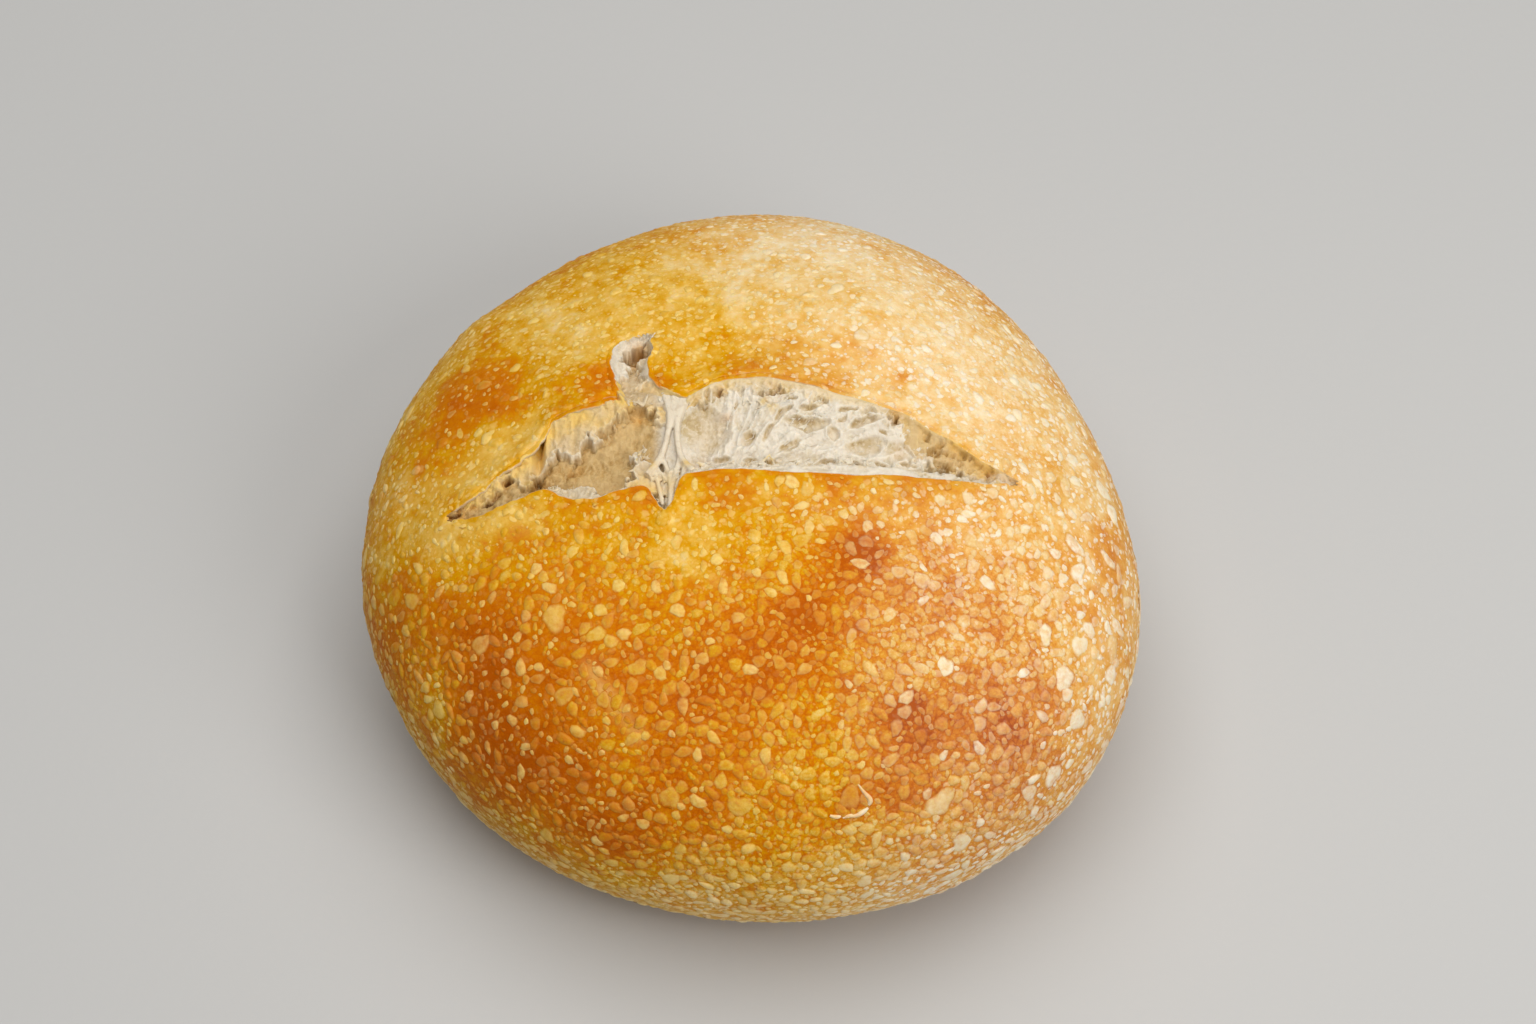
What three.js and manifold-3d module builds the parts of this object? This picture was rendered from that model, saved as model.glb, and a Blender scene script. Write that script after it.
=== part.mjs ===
// A round sourdough loaf (boule) with one torn slash across its top.
// Millimetres, +Z up. The origin is the centre of the loaf's footprint, on the surface it rests on.
// +X runs along the slash, and -Y is the side where the slash's lower, front lip lies.

import * as THREE from 'three';
import { mergeVertices } from 'three/addons/utils/BufferGeometryUtils.js';
import Module from 'manifold-3d';

const wasm = await Module();
wasm.setup();

// ---------------------------------------------------------------- driving dimensions

const LOAF_WIDTH = 200;        // across the loaf, along the slash
const LOAF_HEIGHT = 96;        // floor to crown
const BELLY_HEIGHT = 38;       // height of the widest ring above the floor
const FOOT_RADIUS = 67;        // the flat ring that the loaf rests on

const DOME_POWER = 2.25;       // superellipse powers: 2 is an ellipse, more is squarer
const UNDERSIDE_POWER = 2.2;
const DEPTH_SHARE = 0.945;     // how much narrower the loaf was proved across the slash

const RISE_FROM = 0.5;         // share of the belly's height above which the crust swells

const RINGS_DOME = 33;         // rings of facets from crown to belly
const RINGS_UNDERSIDE = 7;     // and from belly to foot
const SEGMENTS = 84;           // facets round the loaf

// The plan outline: share of the radius that each wave round the loaf adds.
const PLAN_WAVES = [
  { count: 2, cosine: -0.027, sine: -0.0193 },
  { count: 3, cosine: -0.0122, sine: -0.0187 },
  { count: 4, cosine: -0.0019, sine: -0.0064 },
];

// Swellings and hollows of the crust, each with its centre, its reach and how far it stands proud.
const SWELLINGS = [
  { x: -72, y: 53, reach: 8, rise: 2.2 },
  { x: -42, y: 19, reach: 11, rise: 2.6 },
  { x: 30, y: 34, reach: 22, rise: 1.8 },
  { x: 8, y: -34, reach: 20, rise: 1.3 },
  { x: 56, y: -30, reach: 20, rise: -1.0 },
  { x: -50, y: -48, reach: 24, rise: 1.2 },
  { x: -12, y: 60, reach: 18, rise: -1.2 },
];

// The two lips of the slash in plan. Both run from the left tip to the right tip.
const FRONT_LIP = [
  [-75.5, -16.4], [-65, -17.8], [-56, -15.4], [-49, -14], [-42, -17.6], [-35, -17.7], [-29, -15.7],
  [-24.4, -15.4], [-19.6, -22.6], [-14.8, -12.6], [-6.5, -11.8], [5.4, -12.2], [24.6, -12.1],
  [41.5, -11.8], [55, -10.8], [67.5, -8.6],
];
const BACK_LIP = [
  [-75.5, -15.8], [-67.6, -12.3], [-59, -6.6], [-51.2, -1.4], [-47.8, 5.6], [-41, 7.6], [-32.5, 9.8],
  [-24, 8.2], [-16.5, 9.6], [-5.6, 15], [3, 15.8], [12.8, 14], [25, 10], [37, 6.8], [48, 1],
  [57.8, -4.5], [67.5, -8.2],
];
const LIP_RISE = 1.9;          // how far the torn crust curls up at the slash
const LIP_REACH = 5.5;         // how far back from the edge that curl starts
const TIP_HALF_GAP = 0.35;     // half the slash's width at its very tips

// The crumb that shows in the slash, as depths below the crust.
const CREASE_DEPTH = 8.6;      // the deepest line, near the front lip
const CREASE_AT = 0.24;        // where that line lies, from the front lip (0) to the back lip (1)
const FRONT_LEDGE_DEPTH = 1.6;
const BACK_LEDGE_DEPTH = 3.4;
const SLOPE_POWER = 1.15;      // 1 is a straight slope from the crease to the back lip
const TIP_DEPTH = 1.2;         // depth at the slash's tips
const TIP_LENGTH = 16;         // and how far from a tip the full depth is reached
const UNDERCUT = 2.0;          // how far the crust overhangs the crumb along the back lip
const FRONT_UNDERCUT = 0.5;
const UNDERCUT_FROM = 8;       // half the slash's width where that overhang is full
const WEB = { x: -19.5, reach: 3.2, depth: 2.2 };   // the bridge of crumb between the two lobes

// Air cells torn open in the crumb: place along the slash, place across it, radius and depth.
const CELLS = [
  { x: -66, across: 0.55, radius: 3.4, depth: 1.6 },
  { x: -57, across: 0.72, radius: 3.8, depth: 1.9 },
  { x: -46, across: 0.80, radius: 5.2, depth: 2.2 },
  { x: -35, across: 0.50, radius: 9.0, depth: 1.8 },
  { x: -27, across: 0.30, radius: 4.0, depth: 1.4 },
  { x: -12, across: 0.52, radius: 6.6, depth: 2.4 },
  { x: -1, across: 0.80, radius: 3.6, depth: 1.5 },
  { x: 7, across: 0.45, radius: 4.6, depth: 1.6 },
  { x: 16, across: 0.60, radius: 5.4, depth: 2.0 },
  { x: 25, across: 0.72, radius: 4.2, depth: 1.7 },
  { x: 33, across: 0.52, radius: 4.4, depth: 1.6 },
  { x: 41, across: 0.70, radius: 3.6, depth: 2.0 },
  { x: 50, across: 0.55, radius: 3.2, depth: 1.3 },
];
const CELL_STEEPNESS = 4;      // 2 is a bowl, more has a flatter floor and steeper sides
const CRUMB_GRAIN = 0.7;       // height of the uneven tearing between the cells
const CRUMB_GRAIN_PITCH = 4.2; // and its length

// The short second tear that runs back from the left lobe: x of its two lips, and its depth, for each y.
const SIDE_WEST_LIP = [
  [4, -28.5], [8.4, -30.2], [14.2, -32.4], [17.9, -33.3], [22.9, -34.2], [25.5, -34.3], [28.2, -33.5],
  [30.2, -32], [31.9, -29], [32.8, -25.4], [33.6, -22.6],
];
const SIDE_EAST_LIP = [
  [4, -9.5], [8, -12.5], [9.8, -15.3], [12.2, -19], [15.1, -22.5], [18.6, -24.6], [22.8, -25],
  [24.4, -24.3], [27, -23.3], [29.9, -24.4], [31.9, -23.9], [33.6, -22.4],
];
const SIDE_DEPTH = [[4, 3.4], [10, 3.0], [14, 3.8], [19, 5.6], [24, 7.6], [28.5, 8.4], [31.5, 4.4], [33.6, 0.8]];
const SIDE_UNDERCUT = 0.12;    // share of its width by which it is wider at its floor
const SIDE_BOWL = 0.45;        // share of its depth by which its floor rises to its walls

const CUTTER_HEADROOM = 8;     // how far a cutter reaches above the crust
const WALL_SHARE = 1.2;        // share of the depth that a cutter's wall rises over its height below the lid
const SLASH_STEPS = 66;
const SLASH_LANES = 13;
const SIDE_STEPS = 16;
const SIDE_LANES = 8;
const WALL_STEPS = 3;
const WELD = 1e-4;             // corners closer than this are one

// ---------------------------------------------------------------- small helpers

const mix = (a, b, t) => a + (b - a) * t;
const clamp = (value, low, high) => Math.min(high, Math.max(low, value));
const smooth = (t) => t * t * (3 - 2 * t);
const bell = (distance, reach) => Math.exp(-((distance / reach) ** 2));

/** Reads y at x from a list of [x, y] points: half straight, half smooth, and never past a point. */
function along(points, x) {
  const last = points.length - 1;
  if (x <= points[0][0]) return points[0][1];
  if (x >= points[last][0]) return points[last][1];
  const i = points.findIndex((point) => point[0] > x) - 1;
  const t = (x - points[i][0]) / (points[i + 1][0] - points[i][0]);
  return mix(points[i][1], points[i + 1][1], (t + smooth(t)) / 2);
}

/** A repeatable pseudo-random number from 0 to 1 for a lattice point, from a sine's far digits. */
function lattice(i, j) {
  const value = Math.sin(i * 127.1 + j * 311.7 + 19.3) * 43758.5453;
  return value - Math.floor(value);
}

/** Smooth noise from -1 to 1 over the plane. */
function noise(x, y) {
  const i = Math.floor(x);
  const j = Math.floor(y);
  const u = smooth(x - i);
  const v = smooth(y - j);
  const low = mix(lattice(i, j), lattice(i + 1, j), u);
  const high = mix(lattice(i, j + 1), lattice(i + 1, j + 1), u);
  return mix(low, high, v) * 2 - 1;
}

// ---------------------------------------------------------------- the baked round

/** Share of the mean radius that the loaf has in a direction round it. */
function planShare(angle) {
  return PLAN_WAVES.reduce(
    (sum, wave) => sum + wave.cosine * Math.cos(wave.count * angle) + wave.sine * Math.sin(wave.count * angle),
    1,
  );
}

/** The widths that the raw outline has, so that it can be scaled to LOAF_WIDTH and centred. */
function outlineBox() {
  const box = new THREE.Box2();
  for (let i = 0; i < SEGMENTS; i++) {
    const angle = (i / SEGMENTS) * Math.PI * 2;
    const share = planShare(angle);
    box.expandByPoint(new THREE.Vector2(share * Math.cos(angle), share * Math.sin(angle) * DEPTH_SHARE));
  }
  return box;
}

const OUTLINE = outlineBox();
const RADIUS = LOAF_WIDTH / (OUTLINE.max.x - OUTLINE.min.x);
const CENTRE = OUTLINE.getCenter(new THREE.Vector2()).multiplyScalar(RADIUS);

/** Moves a point of the true round to the uneven, narrowed and centred outline. */
function toLoaf(x, y) {
  const share = planShare(Math.atan2(y, x));
  return [x * share - CENTRE.x, y * share * DEPTH_SHARE - CENTRE.y];
}

/** How far out a point lies, as a share of the loaf's radius in its direction. */
function shareOut(x, y) {
  const trueX = x + CENTRE.x;
  const trueY = (y + CENTRE.y) / DEPTH_SHARE;
  return Math.hypot(trueX, trueY) / planShare(Math.atan2(trueY, trueX)) / RADIUS;
}

/** Distance from a point to the nearer lip of the slash, in plan. */
function distanceToLip(x, y) {
  const inside = clamp(x, FRONT_LIP[0][0], FRONT_LIP.at(-1)[0]);
  const past = Math.abs(x - inside);
  return Math.hypot(past, Math.min(Math.abs(y - along(FRONT_LIP, inside)), Math.abs(y - along(BACK_LIP, inside))));
}

/** Rise of the crust above the smooth dome: its swellings, and the curl along the slash. */
function crustRise(x, y) {
  const swelling = SWELLINGS.reduce((sum, s) => sum + s.rise * bell(Math.hypot(x - s.x, y - s.y), s.reach), 0);
  return swelling + LIP_RISE * bell(distanceToLip(x, y), LIP_REACH);
}

/** Height of the smooth dome at a share of the radius. */
function domeHeight(share) {
  const rise = (1 - clamp(share, 0, 1) ** DOME_POWER) ** (1 / DOME_POWER);
  return mix(BELLY_HEIGHT, LOAF_HEIGHT - LIP_RISE, rise);
}

const crustHeight = (x, y) => domeHeight(shareOut(x, y)) + crustRise(x, y);

/** The half section of the true round, from the middle of the foot to the crown. */
function section() {
  const points = [];
  for (let i = 0; i < RINGS_DOME; i++) {
    const share = Math.sin((i / RINGS_DOME) * Math.PI * 0.5);
    points.push(new THREE.Vector2(share * RADIUS, domeHeight(share)));
  }
  for (let i = 0; i <= RINGS_UNDERSIDE; i++) {
    const angle = (i / RINGS_UNDERSIDE) * Math.PI * 0.5;
    const out = Math.cos(angle) ** (2 / UNDERSIDE_POWER);
    const down = Math.sin(angle) ** (2 / UNDERSIDE_POWER);
    points.push(new THREE.Vector2(mix(FOOT_RADIUS, RADIUS, out), BELLY_HEIGHT * (1 - down)));
  }
  points.push(new THREE.Vector2(0, 0));
  return points.reverse();
}

/** The whole loaf before it tears. */
function bakedRound() {
  const geometry = new THREE.LatheGeometry(section(), SEGMENTS);
  geometry.rotateX(Math.PI / 2);
  const position = geometry.attributes.position;
  const riseFrom = BELLY_HEIGHT * RISE_FROM;
  for (let i = 0; i < position.count; i++) {
    const [x, y] = toLoaf(position.getX(i), position.getY(i));
    const z = position.getZ(i);
    const lift = clamp((z - riseFrom) / (BELLY_HEIGHT - riseFrom), 0, 1);
    position.setXYZ(i, x, y, z + lift * crustRise(x, y));
  }
  return geometry;
}

// ---------------------------------------------------------------- the slash and the side tear

/** Depth of the crumb below the crust, across from the front lip (0) to the back lip (1). */
function crumbDepth(x, y, across) {
  const toTip = clamp(Math.min(x - FRONT_LIP[0][0], FRONT_LIP.at(-1)[0] - x) / TIP_LENGTH, 0, 1);
  const front = mix(FRONT_LEDGE_DEPTH, CREASE_DEPTH, Math.sin(clamp(across / CREASE_AT, 0, 1) * Math.PI * 0.5));
  const behind = clamp((across - CREASE_AT) / (1 - CREASE_AT), 0, 1);
  const slope = across < CREASE_AT ? front : mix(CREASE_DEPTH, BACK_LEDGE_DEPTH, behind ** SLOPE_POWER);
  const cells = CELLS.reduce((sum, cell) => {
    const cellY = mix(along(FRONT_LIP, cell.x), along(BACK_LIP, cell.x), cell.across);
    const away = Math.hypot(x - cell.x, y - cellY) / cell.radius;
    return sum + cell.depth * (away < 1 ? 1 - away ** CELL_STEEPNESS : 0);
  }, 0);
  const grain = CRUMB_GRAIN * noise(x / CRUMB_GRAIN_PITCH, y / CRUMB_GRAIN_PITCH);
  const web = bell(x - WEB.x, WEB.reach);
  return mix(mix(slope, WEB.depth, web) + cells + grain, TIP_DEPTH, (1 - toTip) ** 2);
}

/** Turns a box with facets on every side into a closed cutter: place(u, v, w) maps each of its points. */
function cutter(steps, lanes, walls, place) {
  const geometry = new THREE.BoxGeometry(1, 1, 1, steps, lanes, walls);
  const position = geometry.attributes.position;
  for (let i = 0; i < position.count; i++) {
    position.setXYZ(i, ...place(position.getX(i) + 0.5, position.getY(i) + 0.5, position.getZ(i) + 0.5));
  }
  return geometry;
}

/** Height of a cutter's point: w is 0 on its floor and 1 on its lid, well clear of the crust. */
function cutHeight(x, y, depth, w) {
  const crust = crustHeight(x, y);
  return w < 1 ? crust - depth * (1 - WALL_SHARE * w) : crust + CUTTER_HEADROOM;
}

/** The main slash: its floor is the torn crumb, and its walls lean back under the lips. */
function slashCutter() {
  return cutter(SLASH_STEPS, SLASH_LANES, WALL_STEPS, (u, v, w) => {
    const x = mix(FRONT_LIP[0][0], FRONT_LIP.at(-1)[0], u);
    const middle = (along(FRONT_LIP, x) + along(BACK_LIP, x)) / 2;
    const half = Math.max(TIP_HALF_GAP, (along(BACK_LIP, x) - along(FRONT_LIP, x)) / 2);
    const under = Math.sin((1 - w) * Math.PI * 0.5) * clamp(half / UNDERCUT_FROM, 0, 1);
    const y = mix(middle - half - FRONT_UNDERCUT * under, middle + half + UNDERCUT * under, v);
    return [x, y, cutHeight(x, y, crumbDepth(x, y, v), w)];
  });
}

/** The second, short tear, which runs back from the left lobe and ends in a deep hole. */
function sideCutter() {
  return cutter(SIDE_LANES, SIDE_STEPS, WALL_STEPS, (u, v, w) => {
    const y = mix(SIDE_WEST_LIP[0][0], SIDE_WEST_LIP.at(-1)[0], v);
    const middle = (along(SIDE_WEST_LIP, y) + along(SIDE_EAST_LIP, y)) / 2;
    const half = Math.max(TIP_HALF_GAP, (along(SIDE_EAST_LIP, y) - along(SIDE_WEST_LIP, y)) / 2);
    const aside = 2 * u - 1;
    const x = middle + aside * half * (1 + SIDE_UNDERCUT * (1 - w));
    const bowl = 1 - SIDE_BOWL * aside ** 2;
    return [x, y, cutHeight(x, y, along(SIDE_DEPTH, y) * bowl, w)];
  });
}

// ---------------------------------------------------------------- solids

/** A closed three.js geometry as a solid that can be cut and joined. */
function toSolid(geometry) {
  geometry.deleteAttribute('normal');
  geometry.deleteAttribute('uv');
  const merged = mergeVertices(geometry, WELD);
  const index = merged.index.array;
  const corners = [];
  for (let i = 0; i < index.length; i += 3) {
    const [a, b, c] = [index[i], index[i + 1], index[i + 2]];
    if (a !== b && b !== c && a !== c) corners.push(a, b, c);
  }
  return new wasm.Manifold(new wasm.Mesh({
    numProp: 3,
    vertProperties: Float32Array.from(merged.attributes.position.array),
    triVerts: Uint32Array.from(corners),
  }));
}

/** A solid as a three.js geometry. */
function toGeometry(solid) {
  const mesh = solid.getMesh();
  const geometry = new THREE.BufferGeometry();
  geometry.setAttribute('position', new THREE.BufferAttribute(mesh.vertProperties, 3));
  geometry.setIndex(new THREE.BufferAttribute(mesh.triVerts, 1));
  geometry.computeVertexNormals();
  return geometry;
}

const loafSolid = toSolid(bakedRound()).subtract(toSolid(slashCutter())).subtract(toSolid(sideCutter()));

// ---------------------------------------------------------------- the object

const crust = new THREE.MeshStandardMaterial({ color: 0xd9973c, roughness: 0.62, metalness: 0 });

const loaf = new THREE.Mesh(toGeometry(loafSolid), crust);
loaf.name = 'loaf';

const group = new THREE.Group();
group.add(loaf);

export default group;
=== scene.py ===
# %% [markdown]
# # A round sourdough loaf with a torn slash
#
# A hearth loaf is one piece of bread, and yet its surface is several things at once: a thin
# golden crust, the blisters that steam and a slow cold proof raise in it, and the pale, stringy
# crumb that shows where the slash tore open in the oven. This lesson dresses the plain solid of
# the loaf in those things, one at a time. All sizes are in millimetres until a mesh is written.

# %% Load the loaf's solid, with its placement baked into its meshes
import math

import bmesh
import bpy
import numpy as np
from mathutils import Euler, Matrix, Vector, noise
from mathutils.bvhtree import BVHTree


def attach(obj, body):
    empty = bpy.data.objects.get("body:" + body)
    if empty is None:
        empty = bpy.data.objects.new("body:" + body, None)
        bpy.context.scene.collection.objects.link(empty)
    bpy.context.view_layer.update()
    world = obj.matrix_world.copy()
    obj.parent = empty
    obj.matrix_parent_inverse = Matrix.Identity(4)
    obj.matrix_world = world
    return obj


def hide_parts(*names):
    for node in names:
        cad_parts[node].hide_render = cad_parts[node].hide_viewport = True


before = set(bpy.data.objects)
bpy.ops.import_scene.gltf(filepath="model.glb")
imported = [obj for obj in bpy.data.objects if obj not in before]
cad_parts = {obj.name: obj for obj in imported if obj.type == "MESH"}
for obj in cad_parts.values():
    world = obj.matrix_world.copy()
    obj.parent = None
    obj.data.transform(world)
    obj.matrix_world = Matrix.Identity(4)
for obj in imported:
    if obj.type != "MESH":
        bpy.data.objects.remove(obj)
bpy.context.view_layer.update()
MM = 0.001

# %% [markdown]
# ## Small tools
#
# Bread is never even, so nearly every step below moves many vertices a little. A loop could do
# that, but these meshes have up to a hundred thousand vertices, so numpy moves them all at once.
# Blender's own noise gives the lumps, and it is the same on every run.


# %% Read and write a mesh as arrays
def points_of(mesh):
    """A mesh's vertices, in millimetres."""
    places = np.empty(len(mesh.vertices) * 3, np.float32)
    mesh.vertices.foreach_get("co", places)
    return places.reshape(-1, 3).astype(float) / MM


def facings_of(mesh):
    """The direction that each vertex faces."""
    facings = np.empty(len(mesh.vertices) * 3, np.float32)
    mesh.vertex_normals.foreach_get("vector", facings)
    return facings.reshape(-1, 3).astype(float)


def move_points(mesh, places):
    """Puts a mesh's vertices at these places, given in millimetres."""
    mesh.vertices.foreach_set("co", (places * MM).astype(np.float32).ravel())
    mesh.update()


def mark(mesh, name, values):
    """Keeps one number for each vertex, which a material can read by its name."""
    layer = mesh.attributes.get(name) or mesh.attributes.new(name, "FLOAT", "POINT")
    layer.data.foreach_set("value", np.asarray(values, np.float32))


# %% Noise and soft steps
# Noise is made on a lattice, which would show as stripes along x and y, so the lattice is turned.
TURNED = np.array(Euler((0.6, 0.4, 0.9)).to_matrix())


def lumps(places, size, seed=0):
    """Smooth noise from about -1 to 1, with lumps of this size in millimetres."""
    shift = Vector((seed * 17.3, seed * 5.1, seed * 9.7))
    return np.array([noise.noise(Vector(place) + shift) for place in places @ TURNED / size])


def foam(places, size, seed=0):
    """How far each place is from the wall between two cells: 0 on the wall, about 1 inside."""
    shift = Vector((seed * 7.7, seed * 13.1, seed * 3.3))
    nearest = [noise.voronoi(Vector(place) + shift)[0] for place in places @ TURNED / size]
    return np.array([near[1] - near[0] for near in nearest])


def ease(values, start, end):
    """0 before start and 1 after end, with a soft step between them."""
    t = np.clip((values - start) / (end - start), 0, 1)
    return t * t * (3 - 2 * t)


def bell(distance, reach):
    """1 at no distance, and soon nothing past the reach."""
    return np.exp(-((distance / reach) ** 2))


def along(points, x):
    """Reads a value at x from a short list of (x, value) points."""
    xs, values = np.array(points, float).T
    i = np.clip(np.searchsorted(xs, x, side="right") - 1, 0, len(xs) - 2)
    t = np.clip((x - xs[i]) / (xs[i + 1] - xs[i]), 0, 1)
    t = 0.5 * t + 0.5 * t * t * (3 - 2 * t)
    return values[i] + (values[i + 1] - values[i]) * t


# %% Make pieces
def new_piece(name, mesh):
    """An object at the origin, which holds its place in its mesh."""
    piece = bpy.data.objects.new(name, mesh)
    bpy.context.scene.collection.objects.link(piece)
    return piece


def piece_of(name, bm):
    """A piece made of a bmesh, which is freed."""
    mesh = bpy.data.meshes.new(name)
    bm.to_mesh(mesh)
    bm.free()
    return new_piece(name, mesh)


# %% Finish and count meshes
def made_mesh(piece):
    """The mesh that a piece's curve or its modifiers make."""
    depsgraph = bpy.context.evaluated_depsgraph_get()
    return bpy.data.meshes.new_from_object(piece.evaluated_get(depsgraph), depsgraph=depsgraph)


def settle(piece):
    """Replaces a piece's mesh by what its modifiers make of it."""
    made = made_mesh(piece)
    piece.modifiers.clear()
    before = piece.data
    piece.data = made
    bpy.data.meshes.remove(before)
    made.name = piece.name


def triangles(piece):
    """How many triangles a piece has."""
    piece.data.calc_loop_triangles()
    return len(piece.data.loop_triangles)


# %% Lay a grid over any surface
def woven(steps, lanes, place):
    """A bmesh grid whose vertices lie where place(u, v) says; u and v run from 0 to 1."""
    bm = bmesh.new()
    bmesh.ops.create_grid(bm, x_segments=steps, y_segments=lanes, size=0.5)
    u, v = np.array([vert.co.xy for vert in bm.verts]).T + 0.5
    for vert, spot in zip(bm.verts, place(u, v)):
        vert.co = spot * MM
    return bm, u, v


# %% [markdown]
# ## Where the slash lies
#
# The baker cut one slash across the proved dough, and it tore open along two uneven lips. A
# second, short tear runs back from its left half. These are the same outlines as those of the
# solid, so that crumb, lips and crust meet where the solid has them.

# %% The slash's outline, seen from above
FRONT_LIP = [
    (-75.5, -16.4), (-65, -17.8), (-56, -15.4), (-49, -14), (-42, -17.6), (-35, -17.7),
    (-29, -15.7), (-24.4, -15.4), (-19.6, -22.6), (-14.8, -12.6), (-6.5, -11.8), (5.4, -12.2),
    (24.6, -12.1), (41.5, -11.8), (55, -10.8), (67.5, -8.6),
]
BACK_LIP = [
    (-75.5, -15.8), (-67.6, -12.3), (-59, -6.6), (-51.2, -1.4), (-47.8, 5.6), (-41, 7.6),
    (-32.5, 9.8), (-24, 8.2), (-16.5, 9.6), (-5.6, 15), (3, 15.8), (12.8, 14), (25, 10),
    (37, 6.8), (48, 1), (57.8, -4.5), (67.5, -8.2),
]
LEFT_TIP = FRONT_LIP[0][0]
RIGHT_TIP = FRONT_LIP[-1][0]

# %% The side tear's outline
# Each point is its y, and then its x.
WEST_LIP = [
    (4, -28.5), (8.4, -30.2), (14.2, -32.4), (17.9, -33.3), (22.9, -34.2), (25.5, -34.3),
    (28.2, -33.5), (30.2, -32), (31.9, -29), (32.8, -25.4), (33.6, -22.6),
]
EAST_LIP = [
    (4, -9.5), (8, -12.5), (9.8, -15.3), (12.2, -19), (15.1, -22.5), (18.6, -24.6), (22.8, -25),
    (24.4, -24.3), (27, -23.3), (29.9, -24.4), (31.9, -23.9), (33.6, -22.4),
]
SIDE_MOUTH = WEST_LIP[0][0]
SIDE_TIP = WEST_LIP[-1][0]
print("slash:", RIGHT_TIP - LEFT_TIP, "mm long; side tear:", SIDE_TIP - SIDE_MOUTH, "mm long")


# %% How far inside the tear a place is
def into_slash(x, y):
    """How far inside the lips a place is, in millimetres; below 0 it is still on the crust."""
    from_lips = np.minimum(y - along(FRONT_LIP, x), along(BACK_LIP, x) - y)
    return np.minimum(from_lips, np.minimum(x - LEFT_TIP, RIGHT_TIP - x))


def into_side_tear(x, y):
    """The same for the side tear."""
    from_lips = np.minimum(x - along(WEST_LIP, y), along(EAST_LIP, y) - x)
    return np.minimum(from_lips, np.minimum(y - SIDE_MOUTH, SIDE_TIP - y))


def into_tear(x, y):
    """How far inside either of them a place is."""
    return np.maximum(into_slash(x, y), into_side_tear(x, y))


# %% [markdown]
# ## The crust
#
# The solid has the loaf's form in flat facets. To make it soft, its facets are subdivided with
# the lips held sharp by creases, and a voxel remesh then gives even quads of about a millimetre
# all over. A crust also has low lumps, which follow the dough's own strength. A bump in the
# material would leave the outline too smooth, so the vertices themselves move along their normals
# by noise at three sizes.

# %% A fine copy of the solid
CRUST_GRID = 1.16          # edge length of the fine copy's quads
LIP_ANGLE = math.radians(32)
LIP_CREASE = 0.8           # how sharp an edge past that angle stays, from 0 to 1
SAME_PLACE = 0.001         # vertices closer than this are one

solid = bmesh.new()
solid.from_mesh(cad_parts["loaf"].data)
bmesh.ops.remove_doubles(solid, verts=solid.verts, dist=SAME_PLACE * MM)
crease = solid.edges.layers.float.new("crease_edge")
for edge in solid.edges:
    if edge.calc_face_angle(0) > LIP_ANGLE:
        edge[crease] = LIP_CREASE
crust_solid = BVHTree.FromBMesh(solid)
crust = piece_of("crust", solid)

rounding = crust.modifiers.new("rounding", "SUBSURF")
rounding.levels = 2
rounding.render_levels = 2
grid = crust.modifiers.new("grid", "REMESH")
grid.mode = "VOXEL"
grid.voxel_size = CRUST_GRID * MM
settle(crust)
print("crust:", triangles(crust), "triangles")


# %% The crust's level beside the tear
ABOVE = 200.0              # rays start here, above the whole loaf
DOWN = Vector((0, 0, -1))


def height_at(x, y):
    """Height of the solid under a place, from a ray straight down."""
    hit = crust_solid.ray_cast(Vector((x * MM, y * MM, ABOVE * MM)), DOWN)[0]
    return hit.z / MM if hit else 0.0


STATION = 2.0              # spacing of the places where the level is read
BESIDE = 1.4               # how far outside a lip it is read
SIDE_START = 11            # the side tear has two whole lips from this y on
OPENING = (-32, -13)       # between these x the side tear opens, so the slash has no back lip
stations = np.arange(LEFT_TIP + 0.5, RIGHT_TIP, STATION)
front_level = [(x, height_at(x, float(along(FRONT_LIP, x)) - BESIDE)) for x in stations]
back_level = [(x, height_at(x, float(along(BACK_LIP, x)) + BESIDE)) for x in stations]
side_stations = np.arange(SIDE_START, SIDE_TIP, STATION)
west_level = [(y, height_at(float(along(WEST_LIP, y)) - BESIDE, y)) for y in side_stations]
east_level = [(y, height_at(float(along(EAST_LIP, y)) + BESIDE, y)) for y in side_stations]
back_level = [(x, z) for x, z in back_level if not OPENING[0] < x < OPENING[1]]
print("crust's level read at", len(front_level) + len(back_level), "places beside the slash")


# %% The level that a whole crust would have over the tear
NARROWEST = 0.7            # the tear counts as no narrower than this


def crust_level(x, y):
    """Height of the whole crust, as if nothing had torn, over the tear."""
    front, back = along(FRONT_LIP, x), along(BACK_LIP, x)
    share = np.clip((y - front) / np.maximum(back - front, NARROWEST), 0, 1)
    slash = along(front_level, x) * (1 - share) + along(back_level, x) * share
    west, east = along(WEST_LIP, y), along(EAST_LIP, y)
    aside = np.clip((x - west) / np.maximum(east - west, NARROWEST), 0, 1)
    side = along(west_level, y) * (1 - aside) + along(east_level, y) * aside
    in_side = ease(y - back, -2, 2) * ease(into_side_tear(x, y), -3.5, -2.5)
    return slash * (1 - in_side) + side * in_side


# %% Which of its vertices are torn
TORN_ABOVE = 50.0          # nothing lower than this is torn
crust_points = points_of(crust.data)
facing = facings_of(crust.data)
x, y, z = crust_points.T
inside = into_tear(x, y)
below = crust_level(x, y) - z
on_wall = ease(inside, -3.0, -2.2) * ease(-facing[:, 2], -0.40, -0.15)
torn = ease(below, 0.35, 0.9) * np.maximum(ease(inside, -0.1, 0.5), on_wall) * (z > TORN_ABOVE)

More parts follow.
